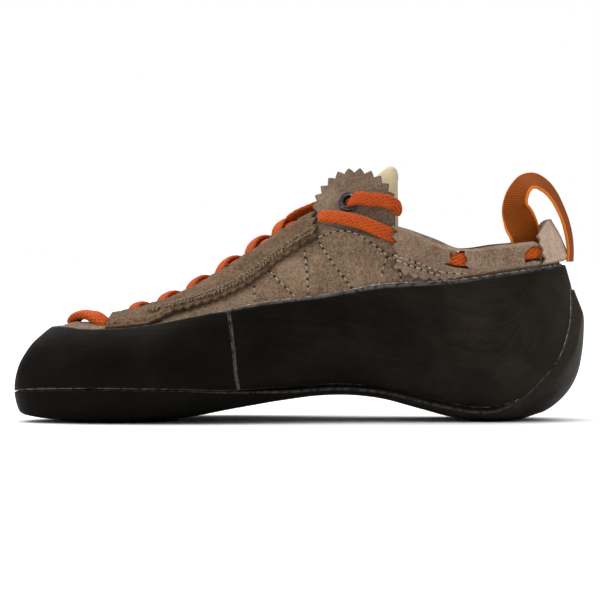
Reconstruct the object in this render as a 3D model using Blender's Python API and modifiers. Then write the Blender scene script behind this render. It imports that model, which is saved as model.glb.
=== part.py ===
"""Low-cut laced climbing shoe, right foot, standing on its sole.

The toe points along -X and the medial side lies on -Y. The origin is on the floor,
in the middle of the heel's flat spot. Lengths are metres.
"""
import bpy
import bmesh
import numpy as np
from mathutils import Vector

for old in list(bpy.data.objects):
    bpy.data.objects.remove(old, do_unlink=True)

MM = 0.001

# Driving sizes of the last
LAST_LENGTH = 232.5 * MM
BALL_WIDTH = 80.0 * MM
INSTEP_HEIGHT = 100.0 * MM

# Walls and clearances
GAP = 0.3 * MM
UPPER_WALL = 2.0 * MM
RAND_WALL = 2.2 * MM
STAY_WALL = 1.8 * MM
BAND_WALL = 1.4 * MM
TAB_WALL = 1.6 * MM
TONGUE_WALL = 1.6 * MM
INSOLE_WALL = 1.6 * MM
OUTSOLE_THICK = 5.0 * MM
OUTSOLE_EDGE = 3.3 * MM
OUTSOLE_CORNER = 0.5 * MM
LASTING_MARGIN = 12.0 * MM
LASTING_COVER = 6.0 * MM

# Laces, eyelets and pull loop
LACE_WIDTH = 5.4 * MM
LACE_THICK = 2.4 * MM
EYELET_RADIUS = 4.6 * MM
EYELET_BORE = 2.4 * MM
EYELET_BARREL = 0.5 * MM
EYELET_FLANGE = 0.7 * MM
TAB_RADIUS = 18.0 * MM
WEBBING_WIDTH = 14.0 * MM
WEBBING_THICK = 1.3 * MM

# Layers over the last, as distances along its normal
UPPER_OUTSIDE = UPPER_WALL
RAND_INSIDE = UPPER_WALL + GAP
RAND_OUTSIDE = RAND_INSIDE + RAND_WALL
STAY_INSIDE = UPPER_WALL + 2 * GAP
STAY_OUTSIDE = STAY_INSIDE + STAY_WALL
LACE_CENTRE = STAY_INSIDE + LACE_THICK / 2
BULGE_INSIDE = STAY_INSIDE + LACE_THICK + 2 * GAP
TAB_OUTSIDE = -4 * GAP
TONGUE_OUTSIDE = TAB_OUTSIDE - TAB_WALL - 3 * GAP - EYELET_FLANGE
HEEL_BACK = 0.143 * LAST_LENGTH
HEEL_SPINE = -0.017 * LAST_LENGTH
TOE_SPINE = -0.71 * LAST_LENGTH


def table(names, *rows):
    """Turn rows of numbers into named columns."""
    columns = np.array(rows, dtype=float).T
    return dict(zip(names.split(), columns))


# The last's outline from above: medial side heel to toe, then lateral side back.
# Shares: along of LAST_LENGTH, across of BALL_WIDTH, level of INSTEP_HEIGHT. The turn
# says how squarely the side turns under.
MEDIAL_OUTLINE = table(
    "along across level turn",
    (0.000, 0.000, 0.400, 2.8),
    (0.035, -0.220, 0.400, 3.0),
    (0.120, -0.325, 0.390, 4.2),
    (0.250, -0.330, 0.370, 5.0),
    (0.380, -0.335, 0.340, 5.5),
    (0.520, -0.410, 0.280, 4.5),
    (0.660, -0.490, 0.220, 2.8),
    (0.780, -0.505, 0.190, 2.4),
    (0.880, -0.470, 0.165, 2.4),
    (0.955, -0.375, 0.150, 2.4),
    (1.000, -0.200, 0.145, 2.4),
)
LATERAL_OUTLINE = table(
    "along across level turn",
    (0.985, -0.030, 0.145, 2.4),
    (0.930, 0.130, 0.150, 2.4),
    (0.850, 0.280, 0.160, 2.4),
    (0.750, 0.420, 0.180, 2.4),
    (0.640, 0.495, 0.210, 2.8),
    (0.520, 0.465, 0.260, 4.5),
    (0.380, 0.390, 0.320, 5.5),
    (0.250, 0.345, 0.360, 5.0),
    (0.120, 0.330, 0.390, 4.2),
    (0.035, 0.220, 0.400, 3.0),
)

# The last's spine from the side: ridge, bottom, and how squarely the ridge turns.
LAST_SPINE = table(
    "along centre bottom top turn",
    (0.140, 0.000, 0.067, 1.010, 1.7),
    (0.200, 0.000, 0.083, 1.060, 1.8),
    (0.260, 0.000, 0.122, 1.120, 1.9),
    (0.330, 0.000, 0.166, 1.140, 2.0),
    (0.400, -0.005, 0.186, 1.010, 2.0),
    (0.460, -0.010, 0.184, 0.900, 2.0),
    (0.540, -0.020, 0.160, 0.765, 2.0),
    (0.620, -0.040, 0.125, 0.635, 2.0),
    (0.700, -0.075, 0.090, 0.525, 2.1),
    (0.780, -0.120, 0.068, 0.455, 2.1),
    (0.860, -0.175, 0.067, 0.415, 2.1),
)

# Where the outsole's edge runs round the last, from heel back (0) to toe tip (1).
SOLE_LINE = table(
    "round height",
    (0.000, 0.548),
    (0.050, 0.530),
    (0.075, 0.410),
    (0.108, 0.280),
    (0.142, 0.205),
    (0.178, 0.130),
    (0.225, 0.085),
    (0.280, 0.082),
    (0.330, 0.112),
    (0.390, 0.162),
    (0.450, 0.180),
    (0.520, 0.168),
    (0.580, 0.155),
    (0.650, 0.153),
    (0.750, 0.150),
    (1.000, 0.131),
)

# Edges seen from the side, as shares of LAST_LENGTH and INSTEP_HEIGHT.
RAND_TOP = table(
    "along height",
    (0.000, 0.672),
    (0.113, 0.636),
    (0.217, 0.603),
    (0.347, 0.585),
    (0.457, 0.542),
    (0.579, 0.512),
    (0.667, 0.470),
    (0.748, 0.430),
    (0.843, 0.404),
    (0.900, 0.404),
    (0.926, 0.412),
    (1.000, 0.412),
)
COLLAR_EDGE = table(
    "along height",
    (0.000, 0.800),
    (0.040, 0.770),
    (0.100, 0.735),
    (0.170, 0.722),
    (0.210, 0.722),
    (0.250, 0.760),
    (0.300, 0.790),
    (0.340, 0.790),
    (0.400, 0.820),
    (0.480, 0.850),
)
STAY_LOWER = table(
    "along height",
    (0.445, 0.800),
    (0.477, 0.767),
    (0.506, 0.725),
    (0.536, 0.677),
    (0.569, 0.616),
    (0.604, 0.564),
    (0.639, 0.527),
    (0.675, 0.499),
    (0.712, 0.475),
    (0.771, 0.445),
    (0.860, 0.445),
)
BAND_LOWER = table(
    "along height",
    (0.000, 0.685),
    (0.057, 0.664),
    (0.113, 0.646),
    (0.217, 0.613),
    (0.245, 0.612),
    (0.285, 0.622),
    (0.310, 0.650),
    (0.330, 0.690),
)
BAND_TOP = table(
    "along height",
    (0.050, 0.772),
    (0.130, 0.754),
    (0.210, 0.742),
    (0.243, 0.775),
    (0.270, 0.799),
    (0.300, 0.823),
    (0.330, 0.835),
)
CAP_TOP = table(
    "along height",
    (-0.030, 0.835),
    (0.000, 0.845),
    (0.030, 0.862),
    (0.045, 0.850),
    (0.060, 0.790),
)

# Half the opening that the throat leaves in the upper, as shares of BALL_WIDTH.
THROAT = table(
    "along half",
    (0.400, 0.240),
    (0.440, 0.195),
    (0.480, 0.165),
    (0.600, 0.145),
    (0.740, 0.120),
    (0.880, 0.090),
)

# The lace round the collar, by its middle line from the side.
COLLAR_LACE = table(
    "along height",
    (-0.040, 0.740),
    (0.000, 0.738),
    (0.060, 0.724),
    (0.140, 0.700),
    (0.207, 0.692),
    (0.260, 0.725),
    (0.302, 0.775),
    (0.345, 0.815),
    (0.384, 0.850),
    (0.420, 0.868),
    (0.452, 0.872),
    (0.478, 0.862),
)

COLUMNS = 30
RIGHT_ANGLE = np.pi / 2


def smooth(across, values, at):
    """Smooth curve through a table's points."""
    slopes = np.gradient(values, across)
    row = np.clip(np.searchsorted(across, at) - 1, 0, len(across) - 2)
    step = across[row + 1] - across[row]
    t = np.clip((at - across[row]) / step, 0.0, 1.0)
    rise = values[row + 1] - values[row]
    start = slopes[row] * step
    end = slopes[row + 1] * step
    curve = values[row] + t * start + t * t * (3 * rise - 2 * start - end)
    return curve + t ** 3 * (start + end - 2 * rise)


def round_share(along):
    """Place round the loop, 0 at the heel back and 1 at the toe tip."""
    return np.arccos(1 - 2 * along) / np.pi


def outline_columns():
    """The outline's tables joined into one loop that repeats at both ends."""
    medial = round_share(MEDIAL_OUTLINE["along"])
    lateral = 2 - round_share(LATERAL_OUTLINE["along"])
    turn = np.concatenate([medial, lateral])
    result = {"round": np.concatenate([turn - 2, turn, turn + 2])}
    for name in ("across", "level", "turn"):
        values = np.concatenate([MEDIAL_OUTLINE[name], LATERAL_OUTLINE[name]])
        result[name] = np.tile(values, 3)
    return result


OUTLINE = outline_columns()


def spine_x(x):
    """Foot of each section on the spine, which fans out at heel and toe."""
    soft = 0.03 * LAST_LENGTH
    above = soft * np.logaddexp(0, (x - HEEL_SPINE) / soft)
    below = soft * np.logaddexp(0, (TOE_SPINE - x) / soft)
    return x - 0.88 * above + 0.88 * below


def spine_values(x):
    along = (HEEL_BACK - x) / LAST_LENGTH
    names = ("centre", "bottom", "top", "turn")
    return [smooth(LAST_SPINE["along"], LAST_SPINE[name], along) for name in names]


def last_point(turn, phi):
    """Point on the last: turn goes round it, phi from sole (0) to ridge (1)."""
    turn, phi = np.broadcast_arrays(turn, phi)
    edge_x = HEEL_BACK - LAST_LENGTH * (1 - np.cos(np.pi * turn)) / 2
    edge_y = BALL_WIDTH * smooth(OUTLINE["round"], OUTLINE["across"], turn)
    level = INSTEP_HEIGHT * smooth(OUTLINE["round"], OUTLINE["level"], turn)
    foot_x = spine_x(edge_x)
    turn_below = smooth(OUTLINE["round"], OUTLINE["turn"], turn)
    centre, bottom, top, turn_above = spine_values(foot_x)
    foot_y = BALL_WIDTH * centre
    power = 2 / np.where(phi < 0.5, turn_below, turn_above)
    reach = np.abs(np.sin(np.pi * phi)) ** power
    rise = np.abs(np.cos(np.pi * phi)) ** power
    end = INSTEP_HEIGHT * np.where(phi < 0.5, bottom, top)
    x = foot_x + (edge_x - foot_x) * reach
    y = foot_y + (edge_y - foot_y) * reach
    z = level + (end - level) * rise
    return np.stack([x, y, z], axis=-1)


def unit(vectors):
    length = np.linalg.norm(vectors, axis=-1, keepdims=True)
    return vectors / np.maximum(length, 1e-12)


def last_normal(turn, phi):
    """Outward normal of the last."""
    turn, phi = np.broadcast_arrays(turn, phi)
    small = 1e-3
    inner = np.clip(phi, 4 * small, 1 - 4 * small)
    along = last_point(turn + small, inner) - last_point(turn - small, inner)
    upward = last_point(turn, inner + small) - last_point(turn, inner - small)
    normal = unit(np.cross(upward, along))
    on_spine = (phi <= 0) | (phi >= 1)
    if np.any(on_spine):
        foot = last_point(turn, phi)[..., 0]
        step = 2 * MM
        ends = [spine_values(foot + side * step) for side in (-1, 1)]
        bottom_slope = (ends[1][1] - ends[0][1]) * INSTEP_HEIGHT / (2 * step)
        top_slope = (ends[1][2] - ends[0][2]) * INSTEP_HEIGHT / (2 * step)
        low = phi <= 0
        slope = np.where(low, bottom_slope, -top_slope)
        flat = np.where(low, -1.0, 1.0)
        spine = unit(np.stack([slope, np.zeros_like(slope), flat], axis=-1))
        normal = np.where(on_spine[..., None], spine, normal)
    return normal


def place(turn, phi, offset):
    """Point at a distance from the last, outwards."""
    turn, phi, offset = np.broadcast_arrays(turn, phi, offset)
    return last_point(turn, phi) + last_normal(turn, phi) * offset[..., None]


PHI_SCAN = np.linspace(0.01, 0.995, 400)


def first_crossing(values):
    """Phi at which each row of values first turns positive."""
    found = []
    for row in values:
        hits = np.nonzero(row >= 0)[0]
        index = int(hits[0]) if len(hits) else len(PHI_SCAN) - 1
        if index == 0:
            found.append(PHI_SCAN[0])
            continue
        low, high = row[index - 1], row[index]
        share = np.clip(-low / (high - low), 0, 1) if high != low else 0
        found.append(PHI_SCAN[index - 1] + share * (PHI_SCAN[1] - PHI_SCAN[0]))
    return np.array(found)


def phi_on_line(turns, line, offset, lift=0.0):
    """Phi where the surface at an offset crosses an edge drawn from the side."""
    points = place(np.asarray(turns)[:, None], PHI_SCAN[None, :], offset)
    along = (HEEL_BACK - points[..., 0]) / LAST_LENGTH
    height = INSTEP_HEIGHT * smooth(line["along"], line["height"], along) + lift
    return first_crossing(points[..., 2] - height)


def phi_from_ridge(turns, halves, offset):
    """Phi where the surface at an offset comes within a distance of the ridge."""
    points = place(np.asarray(turns)[:, None], PHI_SCAN[None, :], offset)
    spine = place(np.asarray(turns), 1.0, offset)
    away = np.linalg.norm((points - spine[:, None, :])[..., :2], axis=-1)
    above = PHI_SCAN[None, :] > 0.5
    return first_crossing(np.where(above, np.asarray(halves)[:, None] - away, -1.0))


def phi_under(turns, margin):
    """Phi on the underside at a margin inside the last's edge."""
    points = last_point(np.asarray(turns)[:, None], PHI_SCAN[None, :])
    edge = last_point(np.asarray(turns), 0.5)
    away = np.linalg.norm((points - edge[:, None, :])[..., :2], axis=-1)
    below = PHI_SCAN[None, :] < 0.5
    margin = np.broadcast_to(margin, np.shape(turns))[:, None]
    return first_crossing(np.where(below, margin - away, 1.0))


def foot_along(turns):
    return (HEEL_BACK - last_point(np.asarray(turns), 1.0)[..., 0]) / LAST_LENGTH


def edge_along(turns):
    return (HEEL_BACK - last_point(np.asarray(turns), 0.5)[..., 0]) / LAST_LENGTH


def sole_line_height(turns):
    share = np.abs((turns + 1) % 2 - 1)
    return INSTEP_HEIGHT * smooth(SOLE_LINE["round"], SOLE_LINE["height"], share)


def sole_line_phi(turns, offset, clear=0.0):
    """Phi of the outsole's edge, or of a line that runs clear above it."""
    turns = np.asarray(turns)
    small = 1e-3
    climb = sole_line_height(turns + small) - sole_line_height(turns - small)
    along = last_point(turns + small, 0.5) - last_point(turns - small, 0.5)
    steep = np.hypot(1.0, climb / np.linalg.norm(along, axis=-1))
    height = sole_line_height(turns) + clear * steep
    points = place(turns[:, None], PHI_SCAN[None, :], offset)
    return first_crossing(points[..., 2] - height[:, None])


def lasting_margin(turns):
    """How far in the upper is turned under: always past the outsole's own edge."""
    line = last_point(turns, sole_line_phi(turns, RAND_INSIDE))
    edge = last_point(turns, 0.5)
    away = np.linalg.norm((line - edge)[:, :2], axis=-1)
    return np.maximum(LASTING_MARGIN, away + LASTING_COVER)


def throat_half(turns):
    return BALL_WIDTH * smooth(THROAT["along"], THROAT["half"], foot_along(turns))


def upper_top_phi(turns):
    """The upper's top edge: the throat in front, the collar behind."""
    collar = phi_on_line(turns, COLLAR_EDGE, UPPER_OUTSIDE)
    throat = phi_from_ridge(turns, throat_half(turns), UPPER_OUTSIDE)
    along = edge_along(turns)
    blend = np.clip((along - 0.42) / 0.06, 0, 1)
    blend = blend * blend * (3 - 2 * blend)
    return collar * (1 - blend) + throat * blend


UNDER_SHARES = (0.35, 0.65, 0.86, 1.0)
RAND_SHARES = (0.16, 0.36, 0.62, 1.0)
SIDE_SHARES = (0.34, 0.67, 1.0)


def between(start, end, shares):
    """Columns of phi at shares of the way from start to end."""
    return [start + (end - start) * share for share in shares]


def mesh_object(name, bm, collection):
    mesh = bpy.data.meshes.new(name)
    bm.normal_update()
    bmesh.ops.recalc_face_normals(bm, faces=bm.faces)
    bm.to_mesh(mesh)
    bm.free()
    thing = bpy.data.objects.new(name, mesh)
    collection.objects.link(thing)
    return thing


def loft(name, inside, outside, collection, loop=False, zipped=False):
    """Closed wall between two grids of points, turns by rows of phi."""
    bm = bmesh.new()
    grids = []
    for grid in (inside, outside):
        grids.append([[bm.verts.new(Vector(p)) for p in row] for row in grid])
    turns = len(inside)
    rows = len(inside[0])
    last_turn = turns if loop else turns - 1
    for i in range(last_turn):
        j = (i + 1) % turns
        for k in range(rows - 1):
            for grid in grids:
                bm.faces.new((grid[i][k], grid[j][k], grid[j][k + 1], grid[i][k + 1]))
        ends = (rows - 1,) if zipped else (0, rows - 1)
        for k in ends:
            bm.faces.new((grids[0][i][k], grids[0][j][k], grids[1][j][k], grids[1][i][k]))
    if not loop:
        for i in (0, turns - 1):
            for k in range(rows - 1):
                a, b = grids[0][i], grids[1][i]
                bm.faces.new((a[k], a[k + 1], b[k + 1], b[k]))
    if zipped:
        bmesh.ops.remove_doubles(bm, verts=bm.verts, dist=0.02 * MM)
    return mesh_object(name, bm, collection)


def sweep(name, points, wide, out, width, thick, collection, sides=8):
    """Flat band (4 sides) or oval cord along a path, with its width direction given."""
    reach = np.cos(np.pi / 4) if sides == 4 else 1.0
    bm = bmesh.new()
    rings = []
    for point, across, outward in zip(points, unit(wide), unit(out)):
        ring = []
        for n in range(sides):
            turn = 2 * np.pi * (n + 0.5) / sides
            u = np.cos(turn) * width / 2 / reach
            w = np.sin(turn) * thick / 2 / reach
            ring.append(bm.verts.new(Vector(point + across * u + outward * w)))
        rings.append(ring)
    for a, b in zip(rings, rings[1:]):
        for n in range(sides):
            m = (n + 1) % sides
            bm.faces.new((a[n], a[m], b[m], b[n]))
    bm.faces.new(rings[0])
    bm.faces.new(rings[-1])
    return mesh_object(name, bm, collection)


def new_collection(name):
    collection = bpy.data.collections.new(name)
    bpy.context.scene.collection.children.link(collection)
    return collection


def finish(thing, name, colour, roughness, metallic=0.0):
    """Give a piece its own plain material."""
    material = bpy.data.materials.new(name)
    material.use_nodes = True
    shader = material.node_tree.nodes["Principled BSDF"]
    shader.inputs["Base Color"].default_value = (*colour, 1.0)
    shader.inputs["Roughness"].default_value = roughness
    shader.inputs["Metallic"].default_value = metallic
    thing.data.materials.append(material)
    return thing


SUEDE = (0.175, 0.120, 0.080)
STAY_SUEDE = (0.152, 0.090, 0.052)
BAND_SUEDE = (0.170, 0.107, 0.066)
CAP_SUEDE = (0.470, 0.340, 0.255)
RUBBER = (0.010, 0.009, 0.007)
SOLE_RUBBER = (0.026, 0.022, 0.019)
COTTON = (0.550, 0.460, 0.300)
LACE_ORANGE = (0.420, 0.060, 0.012)
WEBBING_ORANGE = (0.300, 0.048, 0.012)
GUNMETAL = (0.060, 0.055, 0.050)

shoe = new_collection("climbing_shoe")
cutters = new_collection("cutters")

LOOP_TURNS = np.arange(2 * COLUMNS) / COLUMNS


def turns_between(start, end):
    """The upper's own columns between two turns, and the two ends."""
    steps = np.arange(-2 * COLUMNS, 4 * COLUMNS) / COLUMNS
    margin = 0.2 / COLUMNS
    inner = steps[(steps > start + margin) & (steps < end - margin)]
    return np.concatenate([[start], inner, [end]])


def side_turn(side, along):
    """Turn at a share along the last, on one side of it."""
    turn = round_share(np.asarray(along, dtype=float))
    return turn if side == "medial" else -turn


def make_upper():
    """One hollow wall: open at throat, collar and underneath."""
    turns = LOOP_TURNS
    low = phi_under(turns, lasting_margin(turns))
    line = sole_line_phi(turns, RAND_INSIDE)
    rand_top = phi_on_line(turns, RAND_TOP, RAND_OUTSIDE)
    rows = [low]
    rows += between(low, line, UNDER_SHARES)
    rows += between(line, rand_top, RAND_SHARES)
    rows += between(rand_top, upper_top_phi(turns), SIDE_SHARES)
    rows = np.stack(rows, axis=1)
    grid = turns[:, None]
    inside = place(grid, rows, 0.0)
    outside = place(grid, rows, UPPER_OUTSIDE)
    return finish(loft("upper", inside, outside, shoe, loop=True), "suede", SUEDE, 0.95)


def make_insole():
    turns = LOOP_TURNS
    low = phi_under(turns, lasting_margin(turns))
    line = sole_line_phi(turns, RAND_INSIDE)
    rows = [0 * low, 0.6 * low, low]
    rows += between(low, line, UNDER_SHARES[:2])
    rows = np.stack(rows, axis=1)
    grid = turns[:, None]
    inside = place(grid, rows, -1.5 * GAP - INSOLE_WALL)
    outside = place(grid, rows, -1.5 * GAP)
    thing = loft("insole", inside, outside, shoe, loop=True, zipped=True)
    return finish(thing, "insole", (0.30, 0.25, 0.20), 0.9)


def make_outsole():
    """Rubber under the foot and up the heel, flat where it stands."""
    turns = LOOP_TURNS
    edge = sole_line_phi(turns, RAND_INSIDE)
    step_in = phi_under(turns, lasting_margin(turns) + 3 * GAP)
    step_out = phi_under(turns, lasting_margin(turns) + 2 * GAP)
    rest = between(phi_under(turns, lasting_margin(turns)), edge, UNDER_SHARES)
    rows = np.stack([0 * edge, 0.6 * step_in, step_in, step_out, *rest], axis=1)
    grid = turns[:, None]
    top_offsets = np.array([0.0] * 3 + [RAND_INSIDE] * 5)
    low = RAND_INSIDE + OUTSOLE_THICK
    bottom_offsets = np.array([low] * 6 + [low + OUTSOLE_CORNER, RAND_INSIDE + OUTSOLE_EDGE])
    inside = place(grid, rows, top_offsets[None, :])
    outside = place(grid, rows, bottom_offsets[None, :])
    outside[..., 2] = np.maximum(outside[..., 2], 0.0)
    thing = loft("outsole", inside, outside, shoe, loop=True, zipped=True)
    return finish(thing, "outsole_rubber", SOLE_RUBBER, 0.6)


SPLICE_COLUMN = 17


def rand(name, turns):
    line = sole_line_phi(turns, RAND_INSIDE)
    low = sole_line_phi(turns, RAND_INSIDE, 2 * GAP)
    top = phi_on_line(turns, RAND_TOP, RAND_OUTSIDE)
    rows = np.stack([low] + between(line, top, RAND_SHARES), axis=1)
    grid = turns[:, None]
    inside = place(grid, rows, RAND_INSIDE)
    outside = place(grid, rows, RAND_OUTSIDE)
    return finish(loft(name, inside, outside, shoe), "rand_rubber", RUBBER, 0.5)


def make_rands():
    splice = SPLICE_COLUMN / COLUMNS
    half_gap = GAP / 2 / (LAST_LENGTH * RIGHT_ANGLE)
    rand("rand_toe", turns_between(splice + half_gap, 2 - splice - half_gap))
    rand("rand_heel", turns_between(-splice + half_gap, splice - half_gap))


TONGUE_START = 0.87
TONGUE_END = 0.335
TONGUE_HALF = 24.0 * MM
TONGUE_COVER = 8.0 * MM
TONGUE_SEWN = 0.12
TONGUE_ROWS = 19
TONGUE_COLUMNS = 9


def make_tongue():
    """Strip under the throat, from near the toe to its tip over the instep."""
    across = np.linspace(-1, 1, TONGUE_COLUMNS)
    grid_in, grid_out = [], []
    for along in np.linspace(TONGUE_START, TONGUE_END, TONGUE_ROWS):
        row_in, row_out = [], []
        width = BALL_WIDTH * smooth(THROAT["along"], THROAT["half"], along)
        width = min(width + TONGUE_COVER, TONGUE_HALF)
        free = np.clip((TONGUE_START - along) / TONGUE_SEWN, 0, 1)
        top = -GAP + (TONGUE_OUTSIDE + GAP) * free
        for s in across:
            turn = round_share(along)
            turn = turn if s < 0 else 2 - turn
            half = abs(s) * width
            turns = np.array([turn])
            if half == 0:
                phi = np.array([1.0])
            else:
                phi = phi_from_ridge(turns, np.array([half]), 0.0)
            row_in.append(place(turns, phi, top - TONGUE_WALL)[0])
            row_out.append(place(turns, phi, top)[0])
        grid_in.append(row_in)
        grid_out.append(row_out)
    return finish(loft("tongue", grid_in, grid_out, shoe), "cotton", COTTON, 0.95)


STAY_START = 0.482
STAY_END = 0.855
STAY_OVERHANG = 4.5 * MM
LACE_TUCK = 2.8 * MM
LACE_CLEAR = 1.4 * MM
BAND_START = 0.0495
BAND_END = 0.312
CAP_END = 0.046
LACE_LOW = 0.9 * MM
LACE_OVER = 5.4 * MM
LACE_UNDER = 3.3 * MM
LACE_SPREAD = 3.0 * MM
CROSS_COUNT = 6
TOE_BAR_REACH = 11.5 * MM
TOE_BAR_RISE = 4.5 * MM
TOE_BAR_MEDIAL = 0.80
TOE_BAR_LATERAL = 1.16
WINDOWS = (0.206, 0.070)
WINDOW_LENGTH = 7.4 * MM
WINDOW_HEIGHT = 5.8 * MM
STATIONS = (0.820, 0.760, 0.704, 0.648, 0.590, 0.536, 0.495)
TAB_ALONG = 0.395
TAB_RISE = 8.8 * MM
TAB_TUCK = 4.0 * MM
TAB_ROOT_HEIGHT = INSTEP_HEIGHT * smooth(COLLAR_EDGE["along"], COLLAR_EDGE["height"], TAB_ALONG)
TAB_CENTRE_HEIGHT = TAB_ROOT_HEIGHT + TAB_RISE
TAB_BASE_HEIGHT = TAB_ROOT_HEIGHT - TAB_TUCK
TAB_UPRIGHT = 0.25
EYELET_FORWARD = 2.2 * MM
EYELET_RISE = 4.0 * MM


def make_eyestay(side):
    """Strip along the throat: its inner edge stands out over the opening."""
    ends = side_turn(side, [STAY_START, STAY_END])
    turns = turns_between(ends.min(), ends.max())
    low = phi_on_line(turns, STAY_LOWER, STAY_INSIDE)
    high = phi_from_ridge(turns, throat_half(turns) - STAY_OVERHANG, STAY_INSIDE)
    rows = np.stack([low] + between(low, high, (0.25, 0.5, 0.75, 1.0)), axis=1)
    grid = turns[:, None]
    inside = place(grid, rows, STAY_INSIDE)
    outside = place(grid, rows, STAY_OUTSIDE)
    name = "eyestay_" + side
    return finish(loft(name, inside, outside, shoe), name, STAY_SUEDE, 0.95)


def phi_at_height(turn, height):
    points = place(turn, PHI_SCAN, 0.0)
    return first_crossing((points[:, 2] - height)[None, :])[0]


def tab_point(side, x, height, offset):
    """Point on a tab: on the last below its root, on the tangent above it."""
    turn = side_turn(side, (HEEL_BACK - x) / LAST_LENGTH)
    if height <= TAB_ROOT_HEIGHT:
        return place(turn, phi_at_height(turn, height), offset)
    root = phi_at_height(turn, TAB_ROOT_HEIGHT)
    rise = unit(place(turn, root + 0.01, 0.0) - place(turn, root - 0.01, 0.0))
    rise = unit(rise + TAB_UPRIGHT * np.array([0.0, 0.0, 1.0]))
    start = place(turn, root, offset)
    return start + rise * (height - TAB_ROOT_HEIGHT) / rise[2]


def tab_normal(side, x, height):
    step = 1 * MM
    forward = tab_point(side, x - step, height, 0.0) - tab_point(side, x + step, height, 0.0)
    upward = tab_point(side, x, height + step, 0.0) - tab_point(side, x, height - step, 0.0)
    outward = -1.0 if side == "medial" else 1.0
    normal = unit(np.cross(upward, forward))
    return normal * np.sign(normal[1]) * outward


def eyelet_place(side):
    centre_x = HEEL_BACK - TAB_ALONG * LAST_LENGTH
    x = centre_x - EYELET_FORWARD
    height = TAB_CENTRE_HEIGHT + EYELET_RISE
    middle = tab_point(side, x, height, TAB_OUTSIDE - TAB_WALL / 2)
    return middle, tab_normal(side, x, height)


def make_tab(side):
    """Half-round tab, tucked in under the upper's edge, with a hole for its eyelet."""
    centre_x = HEEL_BACK - TAB_ALONG * LAST_LENGTH
    inside, outside = [], []
    for angle in np.linspace(np.pi, 0, 11):
        x = centre_x + TAB_RADIUS * np.cos(angle)
        top = TAB_CENTRE_HEIGHT + TAB_RADIUS * np.sin(angle)
        heights = [TAB_BASE_HEIGHT, (TAB_BASE_HEIGHT + TAB_ROOT_HEIGHT) / 2, TAB_ROOT_HEIGHT]
        heights += [TAB_ROOT_HEIGHT + (top - TAB_ROOT_HEIGHT) * share for share in (0.5, 1.0)]
        inside.append([tab_point(side, x, h, TAB_OUTSIDE - TAB_WALL) for h in heights])
        outside.append([tab_point(side, x, h, TAB_OUTSIDE) for h in heights])
    name = "tab_" + side
    tab = loft(name, inside, outside, shoe)
    middle, normal = eyelet_place(side)
    bpy.ops.mesh.primitive_cylinder_add(
        vertices=16, radius=EYELET_BORE + EYELET_BARREL + GAP, depth=8 * TAB_WALL,
        location=middle)
    cutter = bpy.context.object
    cutter.name = "cut_" + name
    cutter.rotation_mode = "QUATERNION"
    cutter.rotation_quaternion = Vector(normal).to_track_quat("Z", "Y")
    cut(tab, cutter)
    return finish(tab, name, SUEDE, 0.95)


def cut(thing, cutter, operation="DIFFERENCE"):
    """Boolean with an object that stays out of the part."""
    for collection in list(cutter.users_collection):
        collection.objects.unlink(cutter)
    cutters.objects.link(cutter)
    cutter.hide_render = True
    cutter.display_type = "WIRE"
    modifier = thing.modifiers.new(operation.lower(), "BOOLEAN")
    modifier.operation = operation
    modifier.solver = "EXACT"
    modifier.object = cutter


def make_eyelet(side):
    """Turned eyelet: a barrel through the tab with a flange on each side."""
    seat = TAB_WALL / 2 + 2 * GAP
    end = seat + EYELET_FLANGE
    barrel = EYELET_BORE + EYELET_BARREL
    profile = [
        (EYELET_BORE, -end), (EYELET_RADIUS, -end), (EYELET_RADIUS, -seat), (barrel, -seat),
        (barrel, seat), (EYELET_RADIUS, seat), (EYELET_RADIUS, end), (EYELET_BORE, end),
    ]
    bm = bmesh.new()
    verts = [bm.verts.new((radius, 0.0, height)) for radius, height in profile]
    for n, vert in enumerate(verts):
        bm.edges.new((vert, verts[(n + 1) % len(verts)]))
    mesh = bpy.data.meshes.new("eyelet_" + side)
    bm.to_mesh(mesh)
    bm.free()
    eyelet = bpy.data.objects.new("eyelet_" + side, mesh)
    shoe.objects.link(eyelet)
    screw = eyelet.modifiers.new("turn", "SCREW")
    screw.axis = "Z"
    screw.steps = 12
    screw.render_steps = 12
    screw.use_normal_flip = True
    screw.use_merge_vertices = True
    screw.merge_threshold = 0.00001
    middle, normal = eyelet_place(side)
    eyelet.location = middle
    eyelet.rotation_mode = "QUATERNION"
    eyelet.rotation_quaternion = Vector(normal).to_track_quat("Z", "Y")
    return finish(eyelet, "eyelet_" + side, GUNMETAL, 0.35, 1.0)


def lace_rows(turns, low, high):
    """Rows of a band that bulges over the lace, with the distance of each row."""
    rim = LACE_WIDTH / 2 + 2 * GAP
    foot = rim + 1.6 * MM
    rows = [low]
    for lift in (-foot, -rim, rim):
        rows.append(phi_on_line(turns, COLLAR_LACE, BULGE_INSIDE, lift))
    rows.append(high)
    return np.stack(rows, axis=1)


def window_cutter(side, along, name):
    """Block that opens a band over its lace."""
    turn = np.array([side_turn(side, along)])
    phi = phi_on_line(turn, COLLAR_LACE, BULGE_INSIDE)
    middle = place(turn, phi, BULGE_INSIDE + BAND_WALL / 2)[0]
    normal = last_normal(turn, phi)[0]
    upward = unit(place(turn, phi + 0.01, 0.0) - place(turn, phi - 0.01, 0.0))[0]
    forward = np.cross(upward, normal)
    sizes = (WINDOW_LENGTH, WINDOW_HEIGHT, 4 * BAND_WALL)
    corner = np.stack([forward, upward, normal], axis=1) * np.array(sizes)
    bm = bmesh.new()
    bmesh.ops.create_cube(bm, size=1.0)
    for vert in bm.verts:
        vert.co = Vector(middle + corner @ np.array(vert.co))
    return mesh_object(name, bm, cutters)


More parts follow.
